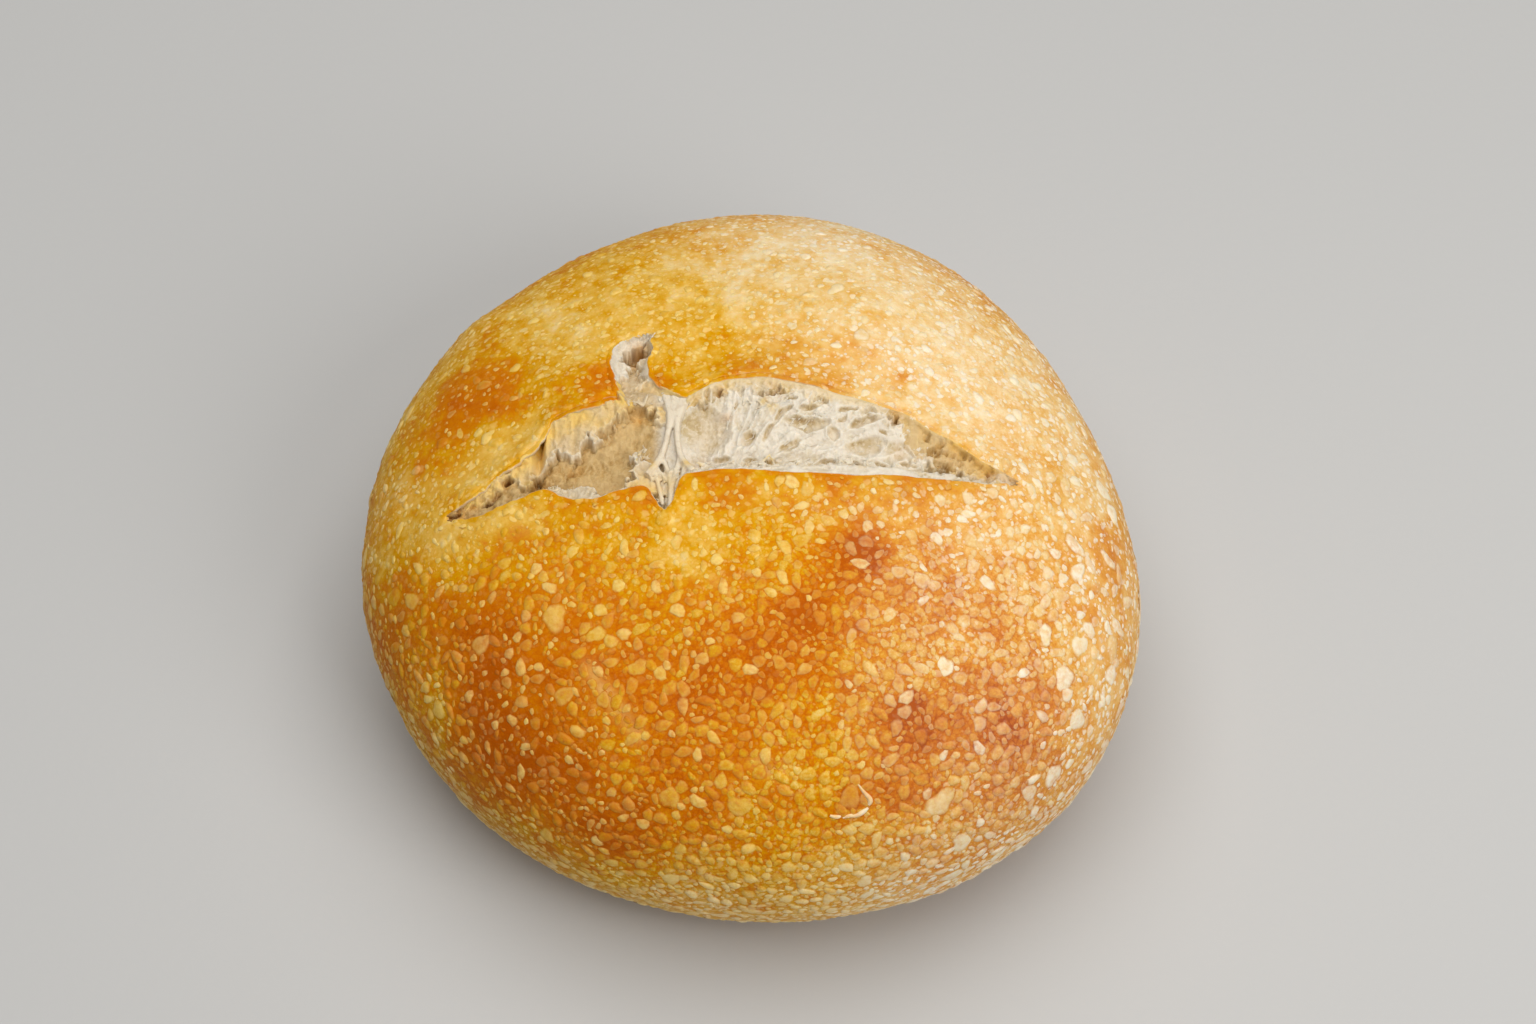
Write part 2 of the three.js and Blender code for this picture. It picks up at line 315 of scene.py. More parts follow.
# %% Lumps, and room for the crumb
LUMPS = [(24, 0.55), (10, 0.30), (4.2, 0.13)]    # size and height of each kind of lump
above_foot = ease(z, 2, 9)
rise = sum(height * lumps(crust_points, size, i) for i, (size, height) in enumerate(LUMPS))
crust_points += facing * (rise * above_foot * (1 - torn))[:, None]

FLOOR_DROP = 3.5           # the crumb is a piece of its own, so the solid's floor makes room
crust_points[:, 2] -= FLOOR_DROP * torn * ease(inside, 0.3, 1.5)
crust_points[:, 2] = np.maximum(crust_points[:, 2], 0)
move_points(crust.data, crust_points)
mark(crust.data, "torn", torn)
crust_surface = BVHTree.FromPolygons(
    [Vector(p) for p in crust_points], [tuple(face.vertices) for face in crust.data.polygons]
)
print("torn share of the crust's vertices:", round(float(torn.mean()), 3))

# %% [markdown]
# ## How browned each place is
#
# One number tells most of a crust's colour: how long it stayed hot and dry. It runs from pale
# dough, through straw, gold and amber, to chestnut. A second number tells how dry the skin is, and
# it also carries a painted sheen, the dull haze of reflected light that grows towards the right
# side: moist skin baked to a clear, saturated amber, and dry skin and the painted sheen to a duller,
# dusty tan. Both could be painted on an image, but soft patches are easier to move and to tune by
# hand. Each patch below has a place, a reach and how much it adds.

# %% Browned patches
BROWNED = [
    # x, y, z, reach, how much more
    (27, -33, 93, 8, 0.26), (15, -49, 91, 10, 0.16), (37, -73, 77, 13, 0.20),
    (62, -66, 71, 14, 0.22), (3, -59, 87, 18, 0.10), (-44, -56, 82, 20, 0.21),
    (-66, -51, 73, 15, 0.31), (-33, -88, 59, 13, 0.26), (-67, 21, 82, 17, 0.26),
    (-77, 8, 78, 13, 0.12), (-35, 18, 93, 6, 0.24), (-41, 11, 92, 8, 0.14),
    (5, 19, 95, 9, 0.12), (20, 14, 95, 7, 0.10), (24, -16, 95, 8, 0.12),
    (-6, -16, 96, 8, 0.12), (44, -13, 92, 7, 0.10), (-25, -18, 95, 4, 0.26),
    (-21, 16, 95, 3, 0.20), (90, -16, 67, 8, 0.12), (-13, -71, 81, 18, 0.12),
    (-49, -38, 86, 14, 0.08), (19, -67, 83, 14, 0.08), (-66, -30, 78, 12, 0.06),
    (50, -42, 87, 12, 0.08), (-64, -68, 60, 14, 0.32), (-47, -76, 66, 12, 0.24),
    (10, -88, 68, 12, 0.14), (-11, -86, 69, 12, 0.14), (31, -82, 71, 12, 0.08),
    (-91, -31, 56, 16, 0.14), (-84, -46, 56, 14, 0.12), (-53, -82, 45, 14, 0.10),
    (-79, -28, 70, 12, 0.08), (-70, -72, 40, 12, 0.08), (-20, 84, 66, 16, 0.04),
    (-60, 70, 50, 22, 0.14), (0, 96, 45, 26, 0.10), (60, 72, 45, 20, 0.08),
    (27, -33, 93, 10, 0.20), (14, -49, 91, 11, 0.12), (-2, -55, 88, 14, 0.08),
    (-12, 30, 93.6, 9, 0.06), (22, 48, 90, 10, 0.05), (28.6, -31.1, 93, 2.6, 0.24),
    (15.2, -48.1, 90.7, 2.2, 0.20), (30.1, -52.9, 87.8, 2.0, 0.16), (39.4, -65.9, 80.6, 2.4, 0.24),
    (34.7, -69.6, 79.7, 2.8, 0.22), (42.9, -54.9, 84.7, 1.8, 0.16),
    (-92, -2, 50, 24, 0.06), (-46.5, 8.6, 91, 4, 0.10),
    (40, -43, 89, 10, 0.02), (-35, -83, 63, 12, 0.04), (-36, -96, 46, 14, 0.03),
    (-28, -56, 85, 10, 0.08), (38.8, 18.7, 91.7, 2.2, 0.35),
]

# %% Pale patches
PALE = [
    # x, y, z, reach, how much less
    (53, 20, 88, 22, 0.16), (62, 3, 86, 14, 0.10), (38, 38, 89, 18, 0.10),
    (29, 64, 81, 24, 0.12), (65, 45, 75, 20, 0.14), (78, 22, 74, 16, 0.12),
    (86, 4, 70, 12, 0.10), (-61, 6, 87, 10, 0.11), (0, -98, 42, 22, 0.06),
    (74, -17, 81, 12, 0.10), (-75, -53, 63, 12, 0.20), (-85, -18, 70, 12, 0.05),
    (-83, 0, 74, 12, 0.06), (-14, -27, 95, 9, 0.05), (10, 62, 87, 20, 0.08),
    (80, -47, 70, 9, 0.10), (86, -56, 56, 12, 0.12), (32, -96, 38, 18, 0.08),
    (-74, -20, 78, 7, 0.10), (-46, 0, 92, 6, 0.10), (20, 84, 66, 16, 0.08),
    (0, 56, 88, 32, 0.13), (-46, 36, 86, 16, 0.10), (48, -8, 91, 7, 0.06),
    (-66, -1, 84, 12, 0.08), (-64, -23, 82, 9, 0.06), (37, -95, 41, 9, 0.06),
]

# %% Moist patches, which also take away painted sheen
MOIST_LESS_SHEEN = [
    # x, y, z, reach, how much moister and less sheened
    (-60, -52, 74, 28, 0.35), (-36, -44, 88, 24, 0.30), (-4, -58, 87, 20, 0.55),
    (-40, -84, 60, 22, 0.55), (-72, 18, 80, 18, 0.50), (-38, 15, 93, 10, 0.50),
    (4, -38, 93, 16, 0.35), (8, -80, 74, 16, 0.45), (-10, 22, 95, 14, 0.25),
    (24, -34, 93, 9, 0.30), (-45, -22, 91, 14, 0.30), (-40, 40, 86, 24, 0.40),
    (0, 62, 86, 26, 0.05), (-60, 0, 86, 14, 0.05), (-67, 21, 82, 12, 0.35),
    (22, 46, 90, 14, 0.35), (-12, 36, 93, 14, 0.25), (-35, 18, 93, 8, 0.4),
    (-44, -56, 82, 14, 0.3), (-2, -55, 88, 12, 0.2),
    (-68, -51, 73, 12, 0.34), (-35, -83, 63, 14, 0.28), (-2, -55, 88, 14, 0.25),
    (14, -49, 91, 12, 0.30), (-44, -56, 82, 16, 0.30), (24, -18, 95, 9, 0.20),
    (-36, -96, 46, 16, 0.30), (-83, 0, 74, 10, -0.20), (-61, 6, 87, 9, -0.15),
    (37, -95, 41, 10, -0.20),
]
print("patches:", len(BROWNED), "browned,", len(PALE), "pale and", len(MOIST_LESS_SHEEN), "moist")


# %% How browned and how dry each place is, with the painted sheen
MEAN_BAKE = 0.47
FOOT_BAKE = 0.50           # the foot baked on the hot stone
BELLY_PALER = 0.05         # and the undercut above it stayed pale
LIP_BROWNER = 0.07         # the raised front lip browned more
# the front lip is moister, and has less of the painted sheen
LIP_MOISTER_LESS_SHEEN = 0.45


def patched(places, patches):
    """The sum of what the patches add at each place."""
    total = np.zeros(len(places))
    for px, py, pz, reach, amount in patches:
        total += amount * bell(np.linalg.norm(places - (px, py, pz), axis=1), reach)
    return total


def by_front_lip(places):
    """1 along the front lip of the slash, and 0 some way in front of it."""
    x, y, z = places.T
    ends = ease(x, -52, -44) * (1 - ease(x, 46, 62))
    return bell(np.minimum(y - along(FRONT_LIP, x), 0), 4.5) * ends * ease(z, 70, 85) * (y < 0)


def bake_at(places):
    """How browned the crust is at each place, from 0, pale dough, to 1, dark chestnut."""
    height = places[:, 2]
    bake = MEAN_BAKE + 0.05 * lumps(places, 34, 21) + 0.05 * lumps(places, 13, 22)
    bake += patched(places, BROWNED) - patched(places, PALE) - BELLY_PALER * bell(height - 20, 18)
    bake += LIP_BROWNER * by_front_lip(places)
    on_foot = 1 - ease(height, 0.5, 5)
    return np.clip(bake * (1 - on_foot) + FOOT_BAKE * on_foot, 0, 1)


def dry_and_sheen_at(places):
    """How dry the skin is at each place, from 0 to 1, with a painted sheen towards the right side."""
    x, y, z = places.T
    # Painted sheen grows towards the right side, where reflected light dulls the crust; the belly is
    # drier.
    across = 0.08 + 0.82 * ease(x + 0.3 * y, -26, 45) + 0.36 * bell(z - 25, 24)
    across -= LIP_MOISTER_LESS_SHEEN * by_front_lip(places)
    return np.clip(across + 0.20 * lumps(places, 20, 25) - patched(places, MOIST_LESS_SHEEN), 0, 1)


# %% How thickly it is blistered
def blistered(places):
    """How dense the cobbled blisters are, from 0 to 1."""
    front = ease(-places[:, 1], 8, 46)
    right = ease(places[:, 0], 20, 80) * 0.25
    edge = ease(places[:, 0], 66, 90)
    smooth_patch = bell(np.linalg.norm(places - (-13, -32, 94), axis=1), 16)
    belly = 1 - 0.6 * bell(places[:, 2] - 20, 20)
    left = 1 - 0.45 * ease(-places[:, 0], 15, 45)
    density = np.clip(0.12 + 0.88 * front * left + right * (1 - front), 0, 1) * belly
    return density * (1 - 0.7 * smooth_patch) * (1 - 0.8 * edge) * ease(places[:, 2], 4, 12)


def fine_share(places):
    """The share of the finest blisters that each place has: fewer at the right edge."""
    return 1 - 0.6 * ease(places[:, 0], 62, 86)


def mark_skin(mesh, browner=0.0):
    """Marks a piece of crust with how browned and cobbled it is, and how dry, with its painted sheen."""
    places = points_of(mesh)
    mark(mesh, "bake", np.clip(bake_at(places) + browner, 0, 1))
    mark(mesh, "dry_and_sheen", dry_and_sheen_at(places))
    mark(mesh, "cobbled", blistered(places))


# %% Milky creases
# Thin skin lies loose along a line. Each has its two ends, half its width, and how milky it is.
CREASES = [
    ((-37.5, -58.5, 82.8), (-25.5, -73.5, 77.2), 1.7, 0.55),
    ((-12.5, -38, 93), (-6, -41, 92.6), 1.6, 0.35),
    ((44, -23, 91.5), (52, -31, 88.5), 1.8, 0.45),
    ((2, -80, 76), (8, -82, 74), 1.8, 0.45),
    ((-51, -33, 89), (-44, -38, 88.5), 1.4, 0.30),
    ((-77, -21, 76), (-52, -21, 88), 3.6, 0.22), ((-74, -6, 79), (-58, 3, 87), 4.5, 0.22),
]


def creased(places):
    """How milky the creases make each place."""
    most = np.zeros(len(places))
    for start, end, half, amount in CREASES:
        run = np.subtract(end, start)
        t = np.clip((places - start) @ run / (run @ run), 0, 1)
        away = np.linalg.norm(places - start - t[:, None] * run, axis=1)
        most = np.maximum(most, amount * bell(away, half))
    return most * (0.75 + 0.5 * lumps(places, 2.5, 27))


mark_skin(crust.data)
mark(crust.data, "milk", creased(crust_points))
print("creases:", len(CREASES))

# %% [markdown]
# ## Materials
#
# A material here is a Principled shader and a few nodes. The colours are given as a painter
# would read them off a swatch and turned into linear light. Patterns read Object coordinates,
# which are metres on the loaf, so a noise scale is one over the size of its lumps in metres.


# %% Short ways to build a material
def paint(red, green, blue):
    """A swatch's colour, 0 to 255, as linear light."""
    return tuple(((c / 255 + 0.055) / 1.055) ** 2.4 for c in (red, green, blue)) + (1.0,)


class Finish:
    """A material with short ways to add nodes and to join them."""

    def __init__(self, name, **sockets):
        self.material = bpy.data.materials.new(name)
        self.material.use_nodes = True
        self.tree = self.material.node_tree
        self.shader = self.tree.nodes["Principled BSDF"]
        for socket, value in sockets.items():
            self.shader.inputs[socket.replace("_", " ")].default_value = value
        self.place = self.node("ShaderNodeTexCoord").outputs["Object"]

    def node(self, kind, **settings):
        """Adds a node, with its settings."""
        made = self.tree.nodes.new(kind)
        for setting, value in settings.items():
            setattr(made, setting, value)
        return made

    def feed(self, source, socket):
        """Joins a socket, or sets it where the source is a plain value."""
        if isinstance(source, bpy.types.NodeSocket):
            self.tree.links.new(source, socket)
        else:
            socket.default_value = source

    def marked(self, name):
        """Reads a number that was kept on the mesh under this name."""
        return self.node("ShaderNodeAttribute", attribute_name=name).outputs["Fac"]

    def noise(self, size_mm, detail=2.0, roughness=0.5, output="Fac"):
        """Smooth noise with lumps of this size."""
        made = self.node("ShaderNodeTexNoise")
        self.feed(self.place, made.inputs["Vector"])
        made.inputs["Scale"].default_value = 1 / (size_mm * MM)
        made.inputs["Detail"].default_value = detail
        made.inputs["Roughness"].default_value = roughness
        return made.outputs[output]

    def cells(self, size_mm, feature="F1", place=None):
        """Cells of this size, which fill space like packed bubbles."""
        made = self.node("ShaderNodeTexVoronoi", feature=feature)
        self.feed(place or self.place, made.inputs["Vector"])
        made.inputs["Scale"].default_value = 1 / (size_mm * MM)
        return made

    def math(self, operation, first, second=0.0, third=0.0):
        """One step of arithmetic on up to three values."""
        made = self.node("ShaderNodeMath", operation=operation)
        for source, socket in zip((first, second, third), made.inputs):
            self.feed(source, socket)
        return made.outputs["Value"]

    def add(self, first, second):
        """The sum of two values."""
        return self.math("ADD", first, second)

    def times(self, first, second):
        """The product of two values."""
        return self.math("MULTIPLY", first, second)

    def swing(self, value, amount):
        """Noise from 0 to 1 made to swing by half the amount either way of 0."""
        return self.math("MULTIPLY_ADD", value, amount, -amount / 2)

    def span(self, value, low, high, to_low=0.0, to_high=1.0):
        """Moves the range low to high onto another, and holds it there."""
        made = self.node("ShaderNodeMapRange", interpolation_type="SMOOTHSTEP")
        for source, socket in zip((value, low, high, to_low, to_high), made.inputs):
            self.feed(source, socket)
        return made.outputs["Result"]

    def warped(self, size_mm, amount_mm):
        """Object coordinates pushed about by noise, so that cells are not so round."""
        push = self.node("ShaderNodeVectorMath", operation="MULTIPLY_ADD")
        self.feed(self.noise(size_mm, 1, output="Color"), push.inputs[0])
        push.inputs[1].default_value = (amount_mm * MM,) * 3
        self.feed(self.place, push.inputs[2])
        return push.outputs["Vector"]

    def spots(self, size_mm, least, most, place=None):
        """Round soft spots, one in each cell, each with its own size and strength."""
        cell = self.cells(size_mm, place=place)
        draws = self.node("ShaderNodeSeparateColor")
        self.feed(cell.outputs["Color"], draws.inputs["Color"])
        radius = self.span(draws.outputs["Red"], 0, 1, least, most)
        inner = self.times(radius, 0.55)
        spot = self.span(cell.outputs["Distance"], inner, radius, 1, 0)
        return self.times(spot, self.span(draws.outputs["Green"], 0.10, 0.65))

    def ramp(self, value, swatches):
        """Reads a colour at a value from (value, swatch) pairs."""
        made = self.node("ShaderNodeValToRGB")
        steps = made.color_ramp.elements
        while len(steps) < len(swatches):
            steps.new(0.5)
        for step, (at, swatch) in zip(steps, swatches):
            step.position = at
            step.color = paint(*swatch)
        self.feed(value, made.inputs["Fac"])
        return made.outputs["Color"]

    def mix(self, share, first, second):
        """Mixes two colours: a share of 0 gives the first, and 1 the second."""
        made = self.node("ShaderNodeMix", data_type="RGBA")
        sockets = [socket for socket in made.inputs if socket.enabled]
        for source, socket in zip((share, first, second), sockets):
            self.feed(source, socket)
        return next(socket for socket in made.outputs if socket.enabled)

    def bump(self, height, depth_mm, under=None):
        """Makes a height look this deep, on top of another bump if one is given."""
        made = self.node("ShaderNodeBump")
        made.inputs["Distance"].default_value = depth_mm * MM
        self.feed(height, made.inputs["Height"])
        if under:
            self.feed(under, made.inputs["Normal"])
        return made.outputs["Normal"]

    def finish(self, colour, roughness, normal):
        """Joins the three to the shader, and gives the material."""
        self.feed(colour, self.shader.inputs["Base Color"])
        self.feed(roughness, self.shader.inputs["Roughness"])
        self.feed(normal, self.shader.inputs["Normal"])
        return self.material


# %% [markdown]
# ### Baked crust
#
# The bake number drives two colour ramps, one for moist skin and one for dry skin with a painted
# sheen, and the mark of dryness and sheen mixes them. Noise at three sizes makes the crust mottled.
# Bubbles too small to model are drawn as pale spots of many sizes. Crust lets some light in, so it
# has a short, warm subsurface.
#
# The same finish serves the blisters, so that their rims melt into the crust. A blister is thin
# skin over air, which looks milky, and the crown number tells where its skin stands free. The
# clearest ones let the amber show through in the middle.

# %% The crust's colours
MOIST_RAMP = [
    (0.00, (244, 230, 198)), (0.20, (238, 208, 148)), (0.38, (229, 180, 74)),
    (0.52, (216, 153, 4)), (0.68, (208, 122, 0)), (0.84, (199, 104, 0)), (1.00, (184, 87, 0)),
]
# Dry skin, and skin under the painted sheen of reflected light, are duller and pinker, milky skin too.
DRY_AND_SHEEN_RAMP = [
    (0.00, (246, 233, 208)), (0.20, (241, 213, 164)), (0.38, (233, 184, 112)),
    (0.52, (224, 157, 72)), (0.68, (209, 130, 56)), (0.84, (194, 108, 50)), (1.00, (166, 80, 44)),
]
MILKY_MOIST = (243, 204, 116)
MILKY_DRY_AND_SHEEN = (246, 230, 204)
TORN_SHADE = (222, 198, 154)
TORN_PALE = (240, 226, 198)


def baked_crust():
    """The finish of the crust, of its lips and of its blisters."""
    skin = Finish(
        "baked_crust",
        Specular_IOR_Level=0.02,
        Subsurface_Weight=0.12,
        Subsurface_Radius=(1.0, 0.42, 0.12),
        Subsurface_Scale=1.5 * MM,
    )
    # How browned it is, mottled by noise at three sizes.
    cobbled = skin.marked("cobbled")
    crown = skin.marked("crown")
    blurred = skin.noise(8, 2)
    speckle = skin.noise(0.8, 4, 0.7)
    bake = skin.add(skin.marked("bake"), skin.swing(blurred, 0.42))
    milk = skin.span(bake, 0.40, 0.68, 1.35, 0.22)
    bake = skin.add(bake, skin.swing(skin.noise(2.9, 2, 0.5), 0.42))
    bake = skin.add(bake, skin.times(skin.swing(speckle, 0.55), skin.add(cobbled, 0.20)))
    # Bubbles too small to model, and creases, lift the skin and make it milky.
    bent = skin.warped(1.6, 1.4)
    small = skin.spots(1.1, 0.22, 0.55, place=bent)
    large = skin.spots(2.3, 0.16, 0.50, place=skin.warped(2.2, 2.2))
    milkier = skin.math("MULTIPLY_ADD", cobbled, -0.45, 0.78)
    lift = skin.math("MAXIMUM", skin.times(small, 0.36), skin.times(large, milkier))
    lift = skin.times(lift, milk)
    lift = skin.math("MAXIMUM", lift, skin.marked("milk"))
    # Darker lines, rims and low skin between the cobbles: browner crust, and painted shade between them.
    edge = skin.cells(1.9, "DISTANCE_TO_EDGE", place=bent).outputs["Distance"]
    free = skin.span(crown, 0.3, 0.7, 0.10, 0.0)
    outline = skin.times(skin.span(edge, 0.02, 0.16, 1, 0), skin.times(cobbled, free))
    bake = skin.add(bake, outline)
    rim = skin.times(skin.span(crown, 0.0, 0.10), skin.span(crown, 0.12, 0.30, 1, 0))
    bake = skin.add(bake, skin.times(rim, skin.math("MULTIPLY_ADD", cobbled, 0.08, 0.01)))
    bake = skin.add(bake, skin.times(skin.marked("tint"), 0.09))
    low_lying = skin.times(skin.span(crown, 0.0, 0.7, 0.08, -0.03), cobbled)
    browner = skin.span(skin.marked("bake"), 0.58, 0.85, 1.0, 2.2)
    bake = skin.add(bake, skin.times(low_lying, browner))
    # Each blister's own milky skin, which is clearer at its crown.
    pale = skin.marked("pale")
    heart = skin.times(skin.span(crown, 0.45, 1.0), skin.span(pale, 0.35, 0.60, 0.50, 0.10))
    own = skin.times(pale, skin.span(crown, 0.02, 0.55))
    own = skin.times(own, skin.math("SUBTRACT", 1, heart))
    own = skin.times(own, skin.span(milk, 0.22, 1.35, 0.75, 1.1))
    patchy = skin.span(skin.noise(1.5, 3, 0.6), 0.3, 0.7, 0.55, 1.3)
    lift = skin.math("MAXIMUM", lift, skin.times(own, patchy))
    # Moist or dry with painted sheen, browned or milky, and whole or torn.
    dry_and_sheen = skin.add(skin.marked("dry_and_sheen"), skin.swing(skin.noise(3.4, 2), 0.5))
    dry_and_sheen = skin.math("MAXIMUM", skin.math("MINIMUM", dry_and_sheen, 1.0), 0.0)
    baked = skin.mix(dry_and_sheen, skin.ramp(bake, MOIST_RAMP), skin.ramp(bake, DRY_AND_SHEEN_RAMP))
    milky = skin.mix(dry_and_sheen, paint(*MILKY_MOIST), paint(*MILKY_DRY_AND_SHEEN))
    torn_face = skin.ramp(skin.noise(2.4, 3), [(0.3, TORN_SHADE), (0.7, TORN_PALE)])
    colour = skin.mix(skin.marked("torn"), skin.mix(lift, baked, milky), torn_face)
    gloss = skin.span(speckle, 0.3, 0.7, 0.36, 0.56)
    wrinkle = skin.bump(speckle, 0.13)
    return skin.finish(colour, gloss, skin.bump(lift, 0.06, under=wrinkle))


crust_finish = baked_crust()
print(crust_finish.name + ":", len(crust_finish.node_tree.nodes), "nodes")


# %% Finish a piece
def dress(piece, material):
    """Gives a piece its finish, its smooth shading and its place on the loaf's body."""
    piece.data.materials.clear()
    piece.data.materials.append(material)
    piece.data.shade_smooth()
    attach(piece, "root")
    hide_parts("loaf")


dress(crust, crust_finish)

# %% [markdown]
# ## Blisters
#
# Gas and steam lift the skin in thousands of small flat domes. On the front of this loaf they
# are packed like cobbles, and elsewhere they are fewer and finer. One small dome is modelled,
# and copies of it are laid on the crust: the centres are random, but no two may overlap by much,
# as in real skin. Instances would be lighter, but one joined mesh for each kind can also carry how
# browned, dry and milky each blister is, and its painted sheen.

# %% One dome, cut from a sphere
SIDE_STEEPNESS = 2.1       # 2 is a shallow lens, more has steeper sides
ON_PLANE = 1e-4            # how near the cut a corner counts as on it


def dome(segments, rings):
    """Vertices and triangles of a closed shallow dome, radius 1 and height 1, flat side down."""
    bm = bmesh.new()
    bmesh.ops.create_uvsphere(bm, u_segments=segments, v_segments=rings, radius=1)
    cut = bm.verts[:] + bm.edges[:] + bm.faces[:]
    flat = bmesh.ops.bisect_plane(
        bm, geom=cut, dist=ON_PLANE, plane_co=(0, 0, 0), plane_no=(0, 0, 1), clear_inner=True
    )
    rim = [item for item in flat["geom_cut"] if isinstance(item, bmesh.types.BMEdge)]
    bmesh.ops.holes_fill(bm, edges=rim, sides=0)
    bmesh.ops.triangulate(bm, faces=bm.faces)
    bmesh.ops.recalc_face_normals(bm, faces=bm.faces)
    bm.verts.index_update()
    corners = np.array([vert.co for vert in bm.verts])
    faces = np.array([[vert.index for vert in face.verts] for face in bm.faces])
    bm.free()
    out = np.hypot(corners[:, 0], corners[:, 1])
    corners[:, 2] = 1 - np.clip(out, 0, 1) ** SIDE_STEEPNESS
    return corners, faces


# %% Random places on the crust
def crust_places(count, seed):
    """Even random places on the crust, with the direction each one faces."""
    mesh = crust.data
    mesh.calc_loop_triangles()
    corners = np.empty(len(mesh.loop_triangles) * 3, np.int32)
    mesh.loop_triangles.foreach_get("vertices", corners)
    corners = corners.reshape(-1, 3)
    a, b, c = (points_of(mesh)[corners[:, i]] for i in range(3))
    facings = facings_of(mesh)[corners]
    area = np.linalg.norm(np.cross(b - a, c - a), axis=1)
    draw = np.random.default_rng(seed)
    pick = draw.choice(len(corners), count, p=area / area.sum())
    s, t = draw.random((2, count))
    over = s + t > 1
    s[over], t[over] = 1 - s[over], 1 - t[over]
    place = a[pick] + s[:, None] * (b - a)[pick] + t[:, None] * (c - a)[pick]
    facing = facings[pick].mean(axis=1)
    return place, facing / np.linalg.norm(facing, axis=1)[:, None], draw


# %% Keep them clear of each other
NEIGHBOURHOOD = 8.0        # no two blisters further apart than this can touch


def clear_of_each_other(places, radii, taken, gap):
    """Which places to keep so that their circles overlap no more than the gap allows."""
    kept = []
    around = [(i, j, k) for i in (-1, 0, 1) for j in (-1, 0, 1) for k in (-1, 0, 1)]
    for i, (place, radius) in enumerate(zip(places.tolist(), radii.tolist())):
        home = [int(c // NEIGHBOURHOOD) for c in place]
        near = (
            other
            for dx, dy, dz in around
            for other in taken.get((home[0] + dx, home[1] + dy, home[2] + dz), ())
        )
        for ox, oy, oz, oradius in near:
            reach = (radius + oradius) * gap
            if (ox - place[0]) ** 2 + (oy - place[1]) ** 2 + (oz - place[2]) ** 2 < reach**2:
                break
        else:
            kept.append(i)
            taken.setdefault(tuple(home), []).append((*place, radius))
    return kept


# %% Lay copies of the dome
SUNK = 0.25                # share of its height that a dome's flat side lies under the crust
LEAN = 0.6                 # how far its top may lie to one side
ASKEW = (0.31, 0.22, 0.925)   # no blister faces exactly this way, so its sides are taken from it
ON_RIM = 0.001             # a corner no higher than this is on the rim
WOBBLE = [(2, 0.12), (3, 0.11), (5, 0.06)]    # waves round a dome's rim, and how far each pushes


def sharpen(mesh, on_rim):
    """Makes the rims sharp, so that the hidden flat sides don't bend the shading of the domes."""
    ends = np.empty(len(mesh.edges) * 2, np.int32)
    mesh.edges.foreach_get("vertices", ends)
    sharp = on_rim[ends.reshape(-1, 2)].all(axis=1)
    mesh.attributes.new("sharp_edge", "BOOLEAN", "EDGE").data.foreach_set("value", sharp)


# %% One kind of blister in one mesh
def lay_domes(name, places, facings, radii, heights, pale, form, seed, longest):
    """One piece of many domes: each is stretched, turned and made uneven in its own way.

    Form is the segments and rings of the sphere they are cut from, and longest is how many times
    longer than wide one may be.
    """
    corners, faces = dome(*form)
    draw = np.random.default_rng(seed)
    count = len(places)
    turn = draw.uniform(0, 2 * math.pi, count)
    side = np.cross(facings, ASKEW)
    side /= np.linalg.norm(side, axis=1)[:, None]
    other = np.cross(facings, side)
    first = side * np.cos(turn)[:, None] + other * np.sin(turn)[:, None]
    second = np.cross(facings, first)
    stretch = np.sqrt(draw.uniform(1.0, longest, count))
    angle = np.arctan2(corners[:, 1], corners[:, 0])
    uneven = 1
    for (waves, push), start in zip(WOBBLE, draw.uniform(0, 2 * math.pi, (3, count, 1))):
        uneven = uneven + push * np.sin(waves * angle + start)
    out = corners[None, :, :2] * uneven[:, :, None] * radii[:, None, None]
    lean = 1 + draw.uniform(0, LEAN, (count, 1)) * corners[:, 0]
    lift = (corners[:, 2] * (1 + SUNK) * lean - SUNK) * heights[:, None]
    local = (
        first[:, None, :] * (out[:, :, :1] * stretch[:, None, None])
        + second[:, None, :] * (out[:, :, 1:] / stretch[:, None, None])
        + facings[:, None, :] * lift[:, :, None]
    )
    vertices = (places[:, None, :] + local).reshape(-1, 3)
    offsets = np.arange(count)[:, None, None] * len(corners)
    mesh = bpy.data.meshes.new(name)
    mesh.from_pydata((vertices * MM).tolist(), [], (faces[None] + offsets).reshape(-1, 3).tolist())
    sharpen(mesh, np.tile(corners[:, 2] < ON_RIM, count))
    mark(mesh, "bake", np.repeat(bake_at(places), len(corners)))
    mark(mesh, "dry_and_sheen", np.repeat(dry_and_sheen_at(places), len(corners)))
    mark(mesh, "cobbled", np.repeat(blistered(places), len(corners)))
    mark(mesh, "crown", np.clip(corners[:, 2] * lean, 0, 1).ravel())
    mark(mesh, "pale", np.repeat(pale, len(corners)))
    mark(mesh, "tint", np.repeat(draw.normal(0, 0.5, count), len(corners)))
    piece = new_piece(name, mesh)
    dress(piece, crust_finish)
    print(name + ":", count, "domes,", triangles(piece), "triangles")


# %% How pale a blister is
def milkiness(places, draw):
    """How milky blisters at these places look: most near the foot and at the right edge."""
    clear = 0.10 + 0.34 * draw.random(len(places)) ** 1.4
    milk = 0.50 + 0.45 * draw.random(len(places))
    low = ease(-places[:, 2], -62, -34)
    right = ease(places[:, 0], 66, 88)
    left = 0.6 * ease(-places[:, 0], 78, 92)
    behind = 0.6 * (1 - blistered(places))
    chance = np.maximum.reduce([low * 0.85, right * 0.85, left, behind]) + 0.08
    return np.where(draw.random(len(places)) < chance, milk, clear)


# %% Scatter a kind over the crust
CLEAR_OF_LIP = 0.5         # how far a blister's rim stays from the tear
LOWEST = 3                 # no blister stands lower than this
taken = {}                 # circles laid so far, by the cell of space they lie in


